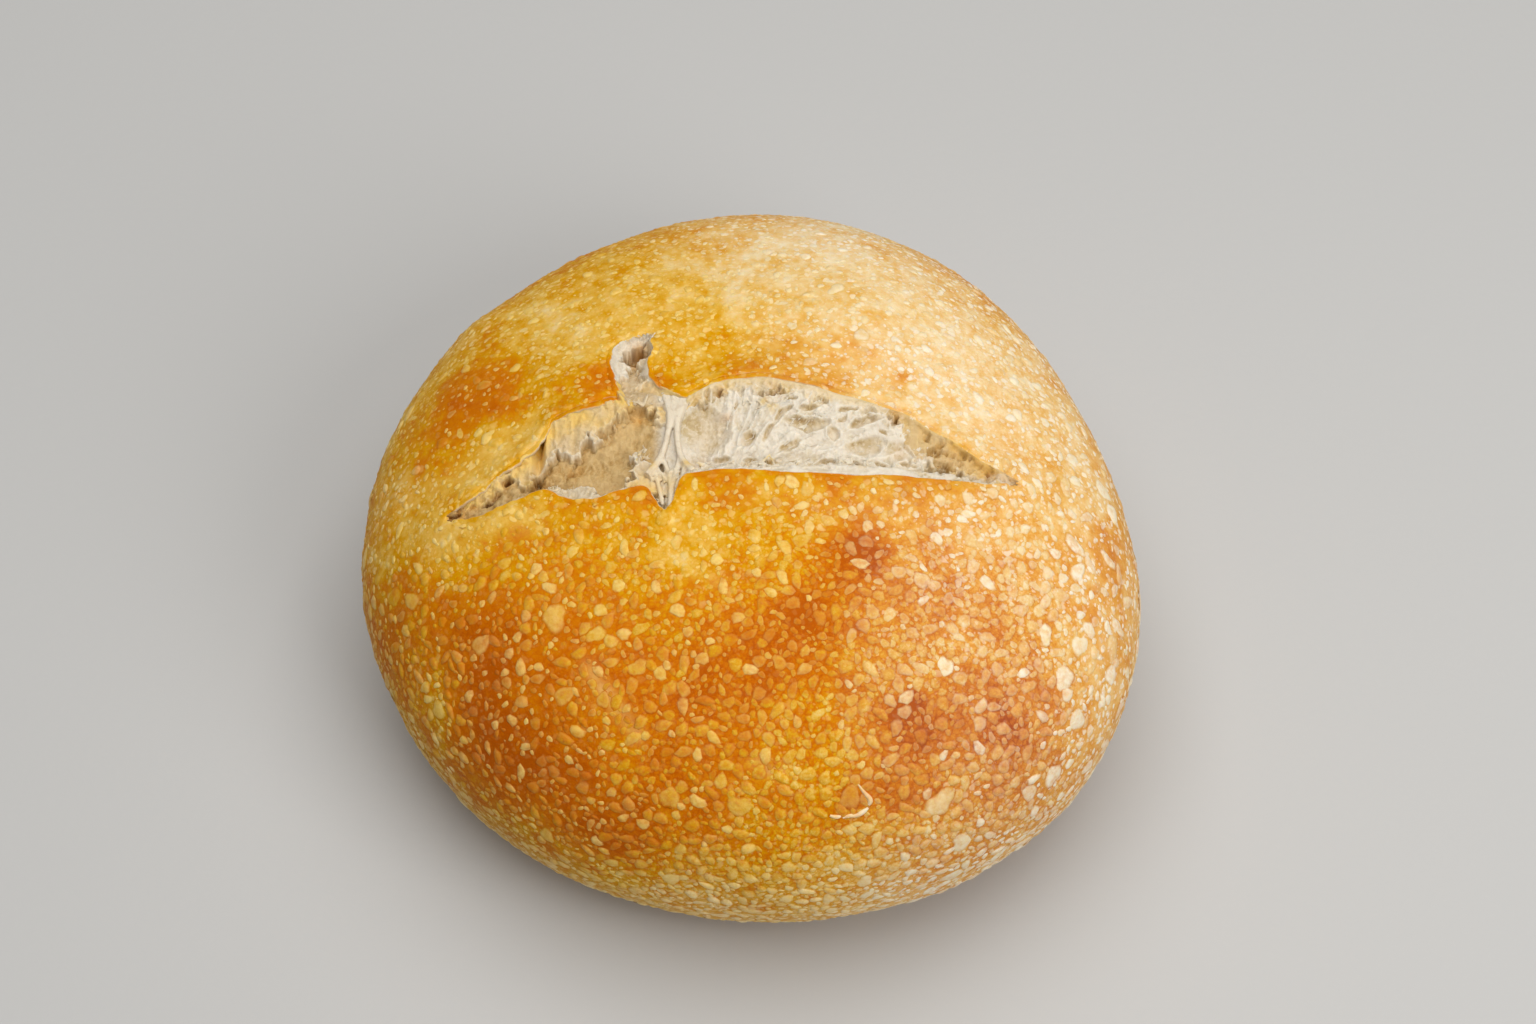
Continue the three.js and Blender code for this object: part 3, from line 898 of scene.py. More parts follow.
def lay_kind(name, tries, sizes, wanted, seed, gap, rise, form, longest):
    """Scatters one kind of blister.

    Sizes are the least and most diameter, and how strongly small ones outnumber large ones. Gap
    is how close two may be, where 1 is just touching. Rise is the least and most height for each
    millimetre of radius.
    """
    places, facings, draw = crust_places(tries, seed)
    low, high, bias = sizes
    radii = (low + (high - low) * draw.random(tries) ** bias) / 2
    keep = draw.random(tries) < wanted(places)
    keep &= into_tear(*places.T[:2]) < -0.5 * radii - CLEAR_OF_LIP
    keep &= places[:, 2] > LOWEST
    order = np.flatnonzero(keep)[np.argsort(-radii[keep])]
    order = order[clear_of_each_other(places[order], radii[order], taken, gap)]
    places, facings, radii = places[order], facings[order], radii[order]
    heights = radii * draw.uniform(*rise, len(order))
    pale = milkiness(places, draw)
    lay_domes(name, places, facings, radii, heights, pale, form, seed, longest)


# %% The broadest blisters, at listed places
BROAD_GAP = 0.1            # these may overlap
BROAD_RISE = 0.10          # their height, as a share of their radius
BROAD = [
    # x, y, z, diameter, and how milky
    (-45.5, -46.3, 84.8, 6.8, 0.65), (-35.6, -51.3, 86, 4.6, 0.50), (-63.7, -48.6, 75.9, 5.4, 0.55),
    (-82.4, -32.3, 68.6, 5.2, 0.50), (-74.6, -57.6, 59.7, 5.0, 0.45), (-25.6, -59.5, 84.9, 4.8, 0.45),
    (-43.1, -63.5, 78.1, 5.2, 0.45), (-18.1, -85.4, 68.3, 5.6, 0.40), (-1.8, -87.6, 68.6, 6.0, 0.45),
    (76.5, -53.9, 69.1, 6.6, 0.75), (79.9, -60.8, 60.1, 6.2, 0.80), (89, -47.3, 58.4, 5.6, 0.80),
    (80.8, -45.4, 69.6, 5.8, 0.75), (83.3, -64.9, 43.4, 5.0, 0.80), (73.6, -72.3, 53.6, 6.2, 0.75),
    (67.7, -77, 53.9, 5.4, 0.75), (45.6, -84.3, 63.3, 7.6, 0.60), (-34, -66, 80.6, 4.0, 0.40),
    (13, -30, 94.2, 4.4, 0.30), (42, -38, 90, 4.6, 0.40), (47, -57.6, 82.5, 4.8, 0.95),
    (24.2, -85.8, 69, 6.0, 0.35),
]
broad = np.array(BROAD, float)
spots = []
for bx, by, bz, *_ in BROAD:
    spots.append(crust_surface.find_nearest(Vector((bx, by, bz)))[:2])
broad_places = np.array([list(spot[0]) for spot in spots])
broad_facings = np.array([list(spot[1]) for spot in spots])
broad_radii = broad[:, 3] / 2
clear_of_each_other(broad_places, broad_radii, taken, BROAD_GAP)
lay_domes(
    "broad_blisters", broad_places, broad_facings, broad_radii, broad_radii * BROAD_RISE,
    broad[:, 4], form=(18, 12), seed=10, longest=1.4,
)


# %% The scattered kinds, the largest first
def at_the_rim(places):
    """Where broad milky blisters stand: low down, and along both flanks."""
    low = ease(-places[:, 2], -58, -30)
    right = ease(places[:, 0], 70, 86) * ease(-places[:, 1], -20, 20)
    left = 0.5 * ease(-places[:, 0], 80, 92)
    return np.maximum(np.maximum(0.75 * low, right), left) * ease(places[:, 2], 6, 14)


lay_kind(
    "outer_blisters", 4200, (3.0, 6.4, 1.5), lambda p: 0.55 * at_the_rim(p) + 0.006,
    seed=14, gap=0.98, rise=(0.08, 0.14), form=(14, 8), longest=1.9,
)
lay_kind(
    "cobble_blisters", 32000, (2.0, 4.2, 2.4), lambda p: 0.9 * blistered(p) ** 1.5,
    seed=11, gap=0.74, rise=(0.13, 0.24), form=(9, 6), longest=1.8,
)
lay_kind(
    "bead_blisters", 56000, (1.2, 2.0, 1.3), lambda p: 0.10 + 0.90 * blistered(p) ** 1.2,
    seed=12, gap=0.80, rise=(0.14, 0.26), form=(7, 4), longest=1.8,
)
lay_kind(
    "pearl_blisters", 15000, (1.4, 3.2, 1.8), lambda p: 0.85 * fine_share(p) * (1 - blistered(p)) ** 1.2,
    seed=15, gap=1.20, rise=(0.04, 0.08), form=(8, 5), longest=2.2,
)
lay_kind(
    "dot_blisters", 22000, (0.7, 1.3, 1.3), lambda p: fine_share(p) * (0.60 - 0.20 * blistered(p)),
    seed=13, gap=1.25, rise=(0.08, 0.16), form=(6, 4), longest=1.6,
)

# %% [markdown]
# ## The open crumb
#
# Where the slash tore, the crumb shows: a foam of stretched cells with thin pale walls. A foam
# cut out with Booleans would be heavy, and only its top is ever seen. So it is one sheet of fine
# quads over the tear, pushed down to the depth of the crumb, and closed below. The right lobe
# rises from a crease behind the front lip to the back lip, and its threads spread like a fan. The
# left lobe is a hollow, and the side tear ends in a deep hole.

# %% A fine sheet over the tear
CRUMB_GRID = 0.27
UNDER_CRUST = 2.0          # how far the sheet runs in under the lips
CRUMB_BOTTOM = 70.0        # height of its flat, hidden underside
MARGIN = 3                 # how far the sheet starts out past the lips
SOUTH, NORTH = min(y for _, y in FRONT_LIP) - MARGIN, SIDE_TIP + MARGIN
LONG, BROADWAYS = RIGHT_TIP - LEFT_TIP, NORTH - SOUTH


def flat_sheet(u, v):
    """Places on a flat sheet over the whole tear."""
    return np.stack([LEFT_TIP + u * LONG, SOUTH + v * BROADWAYS, 0 * u], axis=1)


sheet, _, _ = woven(int(LONG / CRUMB_GRID), int(BROADWAYS / CRUMB_GRID), flat_sheet)
centres = np.array([face.calc_center_median() for face in sheet.faces]) / MM
reach = into_tear(centres[:, 0], centres[:, 1])
sheet.faces.ensure_lookup_table()
outside = [sheet.faces[i] for i in np.flatnonzero(reach < -UNDER_CRUST)]
bmesh.ops.delete(sheet, geom=outside, context="FACES")
print("crumb sheet:", len(sheet.faces), "quads")

# %% Lines that give its large form
LEDGE_DEPTH = 0.8          # depth of the ledge behind the front lip
CREASE_BEHIND = 2.6        # how far behind the front ledge the deepest line lies
CREASE = [                 # x, and the depth of the crease there
    (-76, 1.2), (-66, 1.8), (-57, 2.2), (-53.4, 2.8), (-50.5, 5.6), (-44, 6.4), (-30, 6.6),
    (-22, 4.6), (-17, 3.6), (-12, 5.4), (-6, 5.8), (20, 5.4), (38, 4.6), (46, 3.0), (58, 2.2), (68, 1.0),
]
REAR = [                   # x, and the depth at the back lip
    (-76, 1.4), (-57, 1.8), (-53, 2.6), (-49, 4.6), (-40, 4.8), (-28, 4.2), (-22, 2.4), (-15, 1.5),
    (-10, 1.0), (20, 0.8), (36, 0.9), (45, 1.5), (58, 1.8), (68, 1.0),
]
LEDGE = [                  # x, and the width of the ledge behind the front lip
    (-76, 0.2), (-46, 0.9), (-30, 0.6), (-16, 0.8), (-6, 1.1), (8, 1.6), (24, 2.3), (46, 2.1),
    (60, 1.0), (68, 0.3),
]
SIDE_FLOOR = [             # y, and the depth of the side tear's floor there
    (4, 5.0), (7.6, 4.2), (9.0, 1.3), (10.4, 1.6), (16, 2.9), (21, 3.8), (25, 6.0), (28.5, 8.0),
    (31, 5.0), (33.6, 1.6),
]
BRIDGE_LINE = [            # y, and the x of the web that joins the lips
    (-23, -20.2), (-14, -17.2), (-10, -18.6), (-5, -18.4), (3, -18.0), (10, -16.8),
]
BRIDGE_FOOT = 1.9          # the crumb is no deeper than this at the front foot of the web
FULL_WIDTH = 8             # where the slash is narrower than this, its crease is shallower
SIDE_EDGE = 1.4            # how much shallower the side tear is at its edges
SIDE_LEAST = 0.8           # and its least depth


# %% Its large form
def crumb_form(x, y):
    """Depth of the crumb under the crust's level, before its cells."""
    front, back = along(FRONT_LIP, x), along(BACK_LIP, x)
    width = np.maximum(back - front, NARROWEST)
    crease, rear, ledge = along(CREASE, x), along(REAR, x), along(LEDGE, x)
    crease *= np.clip(width / FULL_WIDTH, 0.3, 1)
    behind_ledge = np.clip((y - front - ledge) / CREASE_BEHIND, 0, 1)
    ahead = LEDGE_DEPTH + (crease - LEDGE_DEPTH) * np.sin(behind_ledge * math.pi / 2)
    from_crease = (y - front - ledge - 0.5 * CREASE_BEHIND) / np.maximum(width - ledge - 1.2, 1)
    slope = crease + (rear - crease) * np.clip(from_crease, 0, 1) ** 1.1
    depth = np.minimum(ahead, slope)
    from_bridge = np.abs(x - along(BRIDGE_LINE, y))
    foot = 1 - ease(from_bridge, 0.8, 2.4 + 3.6 * bell(y + 12, 4.5))
    foot *= 1 - ease(y, -10.5, -6.5)
    depth = depth * (1 - foot) + np.minimum(depth, BRIDGE_FOOT) * foot
    side = into_side_tear(x, y)
    in_side = ease(y - back, -4.5, -1.0) * ease(side, -2.5, 0.5) * (1 - ease(x, -20, -15))
    side_depth = along(SIDE_FLOOR, y) - SIDE_EDGE * (1 - ease(side, -0.5, 2.5)) * ease(y, 10, 14)
    return depth * (1 - in_side) + np.maximum(side_depth, SIDE_LEAST) * in_side


# %% The large cells
# Each is x, y, half its length, half its width, its turn in degrees, its depth, and how
# strongly its wall stands up.
OVALS = [
    (-10.4, 2.2, 6.4, 7.2, 20, 2.2, 0.0), (-6.8, 11.6, 2.0, 0.8, 12, 1.4, 0.6),
    (-12.6, 9.2, 1.4, 0.6, 10, 1.2, 0.4), (0.3, 13.8, 1.6, 0.8, 5, 0.9, 0.5),
    (5.4, 12.0, 3.6, 0.9, -6, 1.6, 0.3), (14.4, 3.3, 6.0, 1.9, -4, 0.7, 0.9),
    (15.4, 7.2, 2.9, 0.9, 8, 0.5, 0.7), (20.9, 1.0, 1.7, 1.9, 0, 0.8, 0.9),
    (19.3, 8.8, 1.5, 0.8, 20, 0.5, 0.6), (24.2, 6.8, 2.6, 0.7, 10, 0.5, 0.6),
    (28.4, 4.0, 4.8, 1.3, 20, 1.0, 0.9), (22.6, 4.4, 1.4, 0.7, 30, 0.4, 0.5),
    (28.0, -2.2, 5.6, 2.4, 6, 0.6, 0.2), (33.4, 1.5, 1.0, 0.8, 0, 0.5, 0.5),
    (36.2, 6.2, 1.3, 1.5, 0, 2.4, 0.0), (0.2, 0.2, 1.4, 2.4, -30, 0.7, 0.4),
    (-2.6, 8.6, 1.6, 0.6, 60, 0.6, 0.4), (8.8, 5.8, 3.2, 0.8, 38, 0.5, 0.6),
    (10.6, 9.4, 2.2, 0.7, 15, 0.5, 0.5), (5.0, 1.2, 3.4, 0.9, 52, 0.5, 0.5),
    (10.4, -2.2, 3.4, 1.1, 32, 0.5, 0.5), (-6.4, -6.2, 2.8, 0.9, 6, 0.7, 0.9),
    (0.6, -5.8, 2.2, 0.7, -8, 0.6, 0.7), (5.8, -6.6, 2.2, 0.7, 4, 0.7, 0.7),
    (12.0, -6.9, 3.0, 0.8, 0, 0.7, 0.8), (18.8, -6.6, 3.2, 0.9, 3, 0.7, 0.7),
    (25.6, -7.0, 2.6, 0.8, -4, 0.7, 0.8), (31.8, -6.8, 3.0, 0.8, 2, 0.7, 0.9),
    (38.4, -6.6, 3.2, 0.9, 0, 0.7, 0.9), (54.0, -2.6, 3.2, 1.3, -28, 1.2, 0.2),
    (60.4, -6.0, 3.0, 0.9, -22, 1.1, 0.2), (-58.6, -9.0, 1.5, 1.2, 20, 3.4, 0.3),
    (-63.6, -13.8, 2.4, 0.9, 10, 1.4, 0.3), (-72.4, -15.6, 3.0, 0.7, 0, 2.6, 0.0),
    (-52.0, -9.6, 1.4, 3.0, -8, 1.6, 0.0), (-21.2, -10.4, 1.4, 3.4, -12, 1.8, 0.3),
    (-19.0, -19.6, 1.0, 1.6, 0, 1.4, 0.2), (-27.6, 27.6, 2.2, 2.0, 20, 2.6, 0.0),
]

# %% Where the crumb browned, and painted shade in its deep holes
AMBER = [                  # browned edges, and painted shade in deep holes: x, y, reach, strength
    (36.2, 6.6, 2.0, 1.0), (51, -0.6, 3.4, 0.8), (55, -3, 3.0, 0.9), (59, -5, 3.0, 0.9),
    (64, -7, 3.0, 0.7), (42, 2.6, 1.6, 0.5), (46.5, -0.6, 1.4, 0.6), (49.5, -4.6, 1.2, 0.5),
    (57, -7.6, 1.4, 0.6), (-66.5, -13.4, 1.6, 0.6), (-62, -11.6, 1.3, 0.6),
    (-27.8, 28, 2.4, 1.0), (-72, -15.4, 3.4, 1.0), (-52.0, -9.8, 1.4, 0.6),
    (-58.6, -9.0, 1.3, 0.9), (-24.0, 15, 1.6, 0.6), (6, 12.8, 2.2, 0.6), (-21, -11, 1.4, 0.5),
    (-6.8, 12.2, 1.2, 0.7), (-12.6, 9.6, 1.0, 0.6), (-5.2, 5.6, 1.6, 0.35), (-27, 6.4, 1.8, 0.5),
    (-11.4, -6.2, 1.8, 0.25), (37, -3, 2.0, 0.25), (-42, -7.4, 2.2, 0.35),
]

# %% Flecks and shaded corners
FLECKS = [                 # clear yellow flecks of set starch: x, y, reach, strength
    (-23.6, -8.4, 1.5, 0.8), (-26.4, -6.0, 1.3, 0.7), (-14.4, -8.8, 1.4, 0.8), (6.0, 7.6, 1.3, 0.8),
    (3.8, 9.6, 1.1, 0.7), (9.6, 12.6, 1.2, 0.9), (5.4, -7.4, 1.6, 0.7), (-0.4, -7.8, 1.2, 0.6),
    (12.8, -9.4, 1.0, 0.6), (27.2, -9.0, 1.2, 0.6), (-12.0, -9.8, 1.2, 0.6), (40.6, -8.8, 1.0, 0.4),
    (-19.6, -14.4, 3.4, 0.55),
]
SHADED = [                 # corners that little light reaches: x, y, reach, strength
    (-73.5, -16.2, 3.0, 0.9), (-48.5, -10.6, 3.4, 0.45), (-42.6, -7.6, 2.6, 0.35),
    (-11.4, -6.2, 2.0, 0.4), (36.6, -3.0, 2.4, 0.3),
]


def near(x, y, places):
    """The strongest of some round places, at each x and y."""
    most = np.zeros(len(x))
    for px, py, reach, strength in places:
        most = np.maximum(most, strength * bell(np.hypot(x - px, y - py), reach))
    return most


def ridges(places, size, seed, width=0.16):
    """Thin winding lines: 1 on a line, and 0 a little way from it."""
    return np.clip(1 - np.abs(lumps(places, size, seed)) / width, 0, 1)


# %% [markdown]
# ### Hanging skin
#
# In places the crust's inner skin still hangs over the crumb in ragged pieces. They could be
# cloth-like sheets of their own, but from above they are terraces with a steep, toothed edge. So
# the sheet of crumb carries them: it lies higher inside the outline of each piece of skin.

# %% Torn skin that hangs over the crumb
# Each piece of skin is an outline seen from above, the depth at its lip, how fast it sinks away
# from the lip, how tan it is and how yellow.
SKINS = [
    ([(-28.0, 10), (-30.6, 6.4), (-33.6, 3.4), (-36.4, 1.8), (-37.6, -0.6), (-38.8, 1.6),
      (-40.0, 0.4), (-40.6, -3.0), (-43.0, -3.6), (-45.2, -2.2), (-47.0, -0.6), (-48.4, 0.6),
      (-50.0, 2.0), (-52, 8), (-40, 12)], 0.9, 0.20, 0.60, 1.05),
    ([(-46.2, -1.4), (-46.6, -3.4), (-48.6, -3.8), (-50.0, -5.6), (-51.4, -8.4), (-52.6, -11.6),
      (-54.8, -11.4), (-56.2, -8.6), (-57.4, -7.4), (-59.8, -8.4), (-60.8, -10.0), (-62.0, -10.6),
      (-66, -8), (-56, -1), (-50, 3), (-47, 2)], 0.9, 0.16, 0.65, 1.00),
    ([(-61.4, -11.4), (-63.4, -13.0), (-65.2, -13.4), (-67.2, -13.6), (-69.2, -14.6),
      (-74, -14), (-66, -8), (-61, -6)], 0.8, 0.22, 0.75, 0.70),
    ([(-50.8, -16), (-50.2, -12.8), (-48.0, -11.2), (-46.0, -10.8), (-44.4, -12.4), (-42.6, -12.0),
      (-40.4, -13.2), (-38.0, -13.8), (-36.2, -14.8), (-33.6, -15.6), (-31, -19), (-44, -21)],
     0.9, 0.36, 0.25, 0.15),
    ([(-36, 33), (-37, 17), (-33, 16.8), (-30.2, 19.2), (-29.6, 20.6), (-30.8, 23.4), (-31.4, 25.8),
      (-30.2, 28.0), (-27.6, 29.6), (-24.8, 31.0), (-24, 35)], 1.2, 0.34, 0.0, 0.05),
    ([(-37, 17.6), (-36, 6), (-30, 7.6), (-29.8, 9.6), (-31.2, 12.6), (-31.6, 15.6)],
     0.9, 0.30, 0.60, 0.85),
    ([(-22, 35), (-24.4, 31), (-25.6, 29.0), (-25.2, 27.0), (-26.4, 25.2), (-27.2, 22.8),
      (-26.4, 20.2), (-25.6, 18.4), (-20, 18), (-20, 28)], 1.4, 0.40, 0.25, 0.10),
    ([(-22, 19), (-26.0, 17.6), (-26.6, 14.0), (-26.0, 11.0), (-24.6, 8.8), (-22.6, 6.6),
      (-21.0, 4.8), (-19.2, 3.6), (-17.4, 4.2), (-15.4, 6.8), (-12.6, 9.6), (-10, 13)],
     1.0, 0.24, 0.60, 0.60),
    ([(-28.4, -5.2), (-26.4, -4.6), (-25.4, -6.4), (-23.0, -7.2), (-20.4, -9.4), (-18.2, -8.6),
      (-15.6, -9.0), (-12.8, -9.4), (-12.0, -14), (-16.6, -13.6), (-18.4, -15.4), (-19.8, -14.0),
      (-21.4, -16.4), (-24, -16), (-29.6, -17), (-29.4, -12.8), (-27.4, -11.4), (-28.0, -9.4),
      (-26.6, -8.0)], 1.7, 0.10, 0.45, 0.75),
    ([(36.8, 9), (36.6, 5.0), (37.6, 1.4), (38.6, -2.6), (40.8, -4.2), (42.6, -3.8), (44.4, -5.2),
      (47.4, -5.4), (49.6, -7.0), (54.0, -7.6), (58.0, -9.0), (66, -8.6), (72, -6), (50, 6)],
     0.9, 0.20, 0.80, 0.35),
    ([(26.0, 12), (27.4, 7.4), (30.4, 6.4), (33.0, 6.8), (35.2, 4.8), (37, 8), (32, 12)],
     0.7, 0.14, 0.20, 0.30),
    ([(-14.6, 9), (-12.0, 9.4), (-9.6, 12.2), (-4.4, 13.0), (-1.0, 12.0), (1.8, 12.6), (5.0, 11.4),
      (8.6, 12.8), (11.0, 11.4), (14.0, 11.0), (15.2, 9.2), (18.0, 10.2), (22.0, 9.6), (24, 14),
      (4, 20), (-14, 16)], 0.5, 0.20, 0.15, 0.45),
    ([(-14, -9.9), (-12.0, -9.6), (-10.4, -10.6), (-6.6, -10.2), (-3.4, -8.6), (-1.0, -9.8),
      (2.2, -9.4), (4.6, -7.2), (6.2, -8.8), (9.6, -9.8), (12.4, -8.8), (15.4, -9.8), (20, -9.2),
      (23.6, -8.6), (27, -9.2), (30.2, -8.4), (34, -9.0), (38, -8.2), (42, -8.8), (48, -9.2),
      (54, -9.4), (60, -9.2), (60, -14), (-14, -16)], 0.7, 0.22, 0.0, 0.10),
]
SKIN_TEETH = [(3.2, 1.0), (1.5, 0.75), (0.8, 0.34)]   # size and depth of the ragged edge's teeth
print("pieces of hanging skin:", len(SKINS))


# %% How far inside an outline a place is
def into_outline(x, y, outline):
    """How far inside a closed outline each place is, in millimetres; below 0 it is outside."""
    away = np.full(len(x), 1e9)
    within = np.zeros(len(x), bool)
    for (ax, ay), (bx, by) in zip(outline, outline[1:] + outline[:1]):
        run_x, run_y = bx - ax, by - ay
        t = np.clip(((x - ax) * run_x + (y - ay) * run_y) / (run_x**2 + run_y**2), 0, 1)
        away = np.minimum(away, np.hypot(x - ax - t * run_x, y - ay - t * run_y))
        if ay != by:
            crosses = (ay > y) != (by > y)
            within ^= crosses & (x < ax + run_x * (y - ay) / run_y)
    return np.where(within, away, -away)


# %% [markdown]
# ### Threads, cells and grain
#
# Stretched crumb is threads and thin walls between cells of every size. Each is a pattern of
# noise that is read at the places of the sheet: ridges give threads, and a foam gives cells. The
# places are first pushed about, bent into a fan or drawn out, which stretches the pattern.

# %% The places of the sheet, and the same places pushed about
flat_places = np.array([vert.co for vert in sheet.verts]) / MM
x, y, _ = flat_places.T
front_gap = y - along(FRONT_LIP, x)
back_gap = along(BACK_LIP, x) - y
from_lip = np.abs(into_tear(x, y))


def two_ways(size, seed):
    """Noise for pushing places about in x and in y."""
    return np.stack([lumps(flat_places, size, seed), lumps(flat_places, size, seed + 1), 0 * x], axis=1)


warp = two_ways(5, 31) + 0.45 * two_ways(1.7, 33)
bent = flat_places + 1.1 * warp
teeth = flat_places + sum(2 * deep * two_ways(size, 60 + i) for i, (size, deep) in enumerate(SKIN_TEETH))
in_right = ease(x, -18, -10)
in_left = 1 - ease(x, -24, -20)
in_side = ease(-back_gap, -0.5, 1.5)

# %% Threads like a fan
FAN = (-9.0, -17.0)        # the stretched threads of the right lobe spread from here
FAN_TURN = 15              # how many thread widths there are in a radian of the fan
FAN_SQUASH = 0.8           # the fan is flatter than a circle
DRAWN_OUT = 7              # how many times longer than wide the threads' pattern is
fan_x, fan_y = x - FAN[0], (y - FAN[1]) * FAN_SQUASH
fan_turn, fan_far = np.arctan2(fan_y, fan_x), np.hypot(fan_x, fan_y)
fan = np.column_stack([fan_turn * FAN_TURN, fan_far / DRAWN_OUT, 0 * x])
fan += 0.22 * warp
threads = ridges(fan, 1.3, 43, 0.26)
fine_threads = ridges(fan, 0.55, 47, 0.34)
fan_swell = lumps(fan, 2.6, 48)

# %% Folds, small cells, grain and shreds
stretched = bent * (0.42, 1.0, 1.0)
sags = lumps(stretched, 2.6, 41)
small_cells = foam(bent * (0.6, 1.0, 1.0), 1.7, 42)
grain = lumps(flat_places, 1.2, 45) + 0.6 * lumps(flat_places, 0.6, 46)
fibres = lumps(bent * (1.0, 0.32, 1.0), 1.5, 50) + 0.5 * lumps(bent * (1.0, 0.4, 1.0), 0.7, 51)
uneven = lumps(bent, 5.5, 53) + 0.5 * lumps(bent, 2.4, 54)
shreds = ridges(bent * (1.0, 0.4, 1.0), 1.4, 50, 0.30)
strings = np.maximum(ridges(bent * (1.0, 0.5, 1.0), 1.9, 58, 0.14), ridges(bent, 1.3, 59, 0.12))
foot = bell(np.hypot((x + 19.5) / 6.5, (y + 11.5) / 4.0), 0.9)
foot = np.maximum(foot, bell(np.hypot((x + 19) / 2.6, (y + 18) / 4), 0.9))

# %% How deep each place lies: the large cells
depth = crumb_form(x, y)
hollow = np.zeros(len(x))
shade = np.zeros(len(x))
walls = np.zeros(len(x))
for cx, cy, half_long, half_wide, turn, deep, wall in OVALS:
    spin = math.radians(turn)
    off_x, off_y = bent[:, 0] - cx, bent[:, 1] - cy
    across = (off_x * math.cos(spin) + off_y * math.sin(spin)) / half_long
    upward = (off_y * math.cos(spin) - off_x * math.sin(spin)) / half_wide
    away = np.hypot(across, upward)
    depth += deep * np.clip(1 - away**2, 0, 1)
    # Painted shade: a large cell is darker in its hollow, and darker still on its far, upper inside
    # wall.
    hollow = np.maximum(hollow, ease(away, 1.1, 0.6))
    shade = np.maximum(shade, ease(away, 1.02, 0.80) * ease(upward, -0.2, 0.9))
    walls = np.maximum(walls, wall * bell((away - 1.06) * min(half_long, half_wide), 0.30))

# %% Threads and pores on top of them
SAG, SWELL = 0.9, 1.0      # how far the folds sag, and how far the skin between threads does
THREAD_RISE, FINE_THREAD_RISE = 0.42, 0.20
SMALL_CELL = 0.30          # how deep the small cells are
WALL_RISE = 0.50           # how high the wall of a large cell stands
LACE_GAP = 0.75            # near the back lip the crumb is lace, with gaps this deep
LACE_RISE = 1.1            # and lines that rise this far out of them
LEFT_UNEVEN, LEFT_FIBRE = 1.0, 0.25   # relief of the left lobe's lumps and fibres
calm = 1 - 0.75 * hollow
open_right = in_right * (1 - 0.5 * ease(x, 44, 54)) * calm
depth += open_right * (
    SAG * sags + SWELL * fan_swell - THREAD_RISE * threads - FINE_THREAD_RISE * fine_threads
)
depth += open_right * (SMALL_CELL * ease(small_cells, 0.0, 0.6) - SMALL_CELL / 2)
depth -= WALL_RISE * walls
lace = np.maximum(ridges(bent * (0.8, 1.0, 1.0), 2.1, 49, 0.22), ridges(fan, 1.9, 57, 0.22))
laced = bell(back_gap - 2.4, 2.6) * in_right * (1 - ease(x, 34, 42)) * calm
depth += laced * (LACE_GAP - LACE_RISE * lace)
depth += in_left * (LEFT_UNEVEN * uneven + LEFT_FIBRE * fibres) * (1 - 0.5 * in_side)
depth -= 0.9 * foot * shreds - 0.4 * foot
ends = np.maximum((1 - ease(x, -56, -50)) * ease(x, -77, -72), ease(x, 38, 44))
pits = 2.2 * np.maximum(lumps(bent * (0.8, 1.0, 1.0), 2.4, 55), 0) + np.maximum(grain, 0)

# %% Lay the hanging skin over the crumb
UNDERCUT = 0.5             # how much deeper the crumb lies right under an edge
hung, edge, under = np.zeros((3, len(x)))
tan = np.maximum(0.95 * in_left * (1 - 0.35 * in_side), 0.45 * ease(x, 44, 54))
tan *= 1 - 0.6 * (1 - ease(front_gap, 0.8, 2.2)) * ease(x, -62, -55)
tan = np.maximum(tan, 0.25 * hollow * in_right)
yellow = near(x, y, FLECKS) * (0.8 + 0.5 * lumps(flat_places, 0.9, 52))
for outline, lip_depth, sinking, how_tan, how_yellow in SKINS:
    inside = into_outline(teeth[:, 0], teeth[:, 1], outline)
    over = ease(inside, -0.48, 0.12)
    level = lip_depth + sinking * from_lip + (0.3 + 0.3 * in_left) * fibres + 0.5 * uneven
    level -= 0.35 * bell(inside - 0.30, 0.40)
    step = ease(depth - level, 0.1, 0.8)
    depth += UNDERCUT * step * bell(inside + 0.45, 0.75) * (1 - over)
    raised = over * (level < depth)
    depth = depth * (1 - raised) + level * raised
    hung = np.maximum(hung, raised)
    # A painted shadow on the crumb just under the edge of each piece of skin.
    under = np.maximum(under * (1 - raised), step * bell(inside + 0.30, 0.60) * (1 - over))
    edge = np.maximum(edge * (1 - raised), step * raised * bell(inside - 0.25, 0.40))
    tan = tan * (1 - raised) + how_tan * raised
    yellow = yellow * (1 - raised) + how_yellow * (0.9 + 0.8 * uneven) * bell(from_lip, 6) * raised
tan *= 1 - 0.7 * edge
print("share of the sheet under hanging skin:", round(float(hung.mean()), 3))

# %% Meet the lips, and run in under the crust
CLOSE_DEPTH = 0.12         # the crumb's depth right at a lip that it still clings to
TUCK = 3.2                 # how much deeper the sheet's edge lies, under the crust
depth += (0.16 + 0.04 * in_left) * grain - 0.18 * strings + (0.6 + 0.7 * in_right) * ends * pits
close = bell(from_lip, 0.8) * np.maximum(in_right, in_side)
depth = depth * (1 - close) + CLOSE_DEPTH * close
depth = np.maximum(depth, CLOSE_DEPTH)
depth += TUCK * ease(-into_tear(x, y), 0, UNDER_CRUST)
heights = crust_level(x, y) - depth
print("deepest crumb:", round(float(depth.max()), 1), "mm")

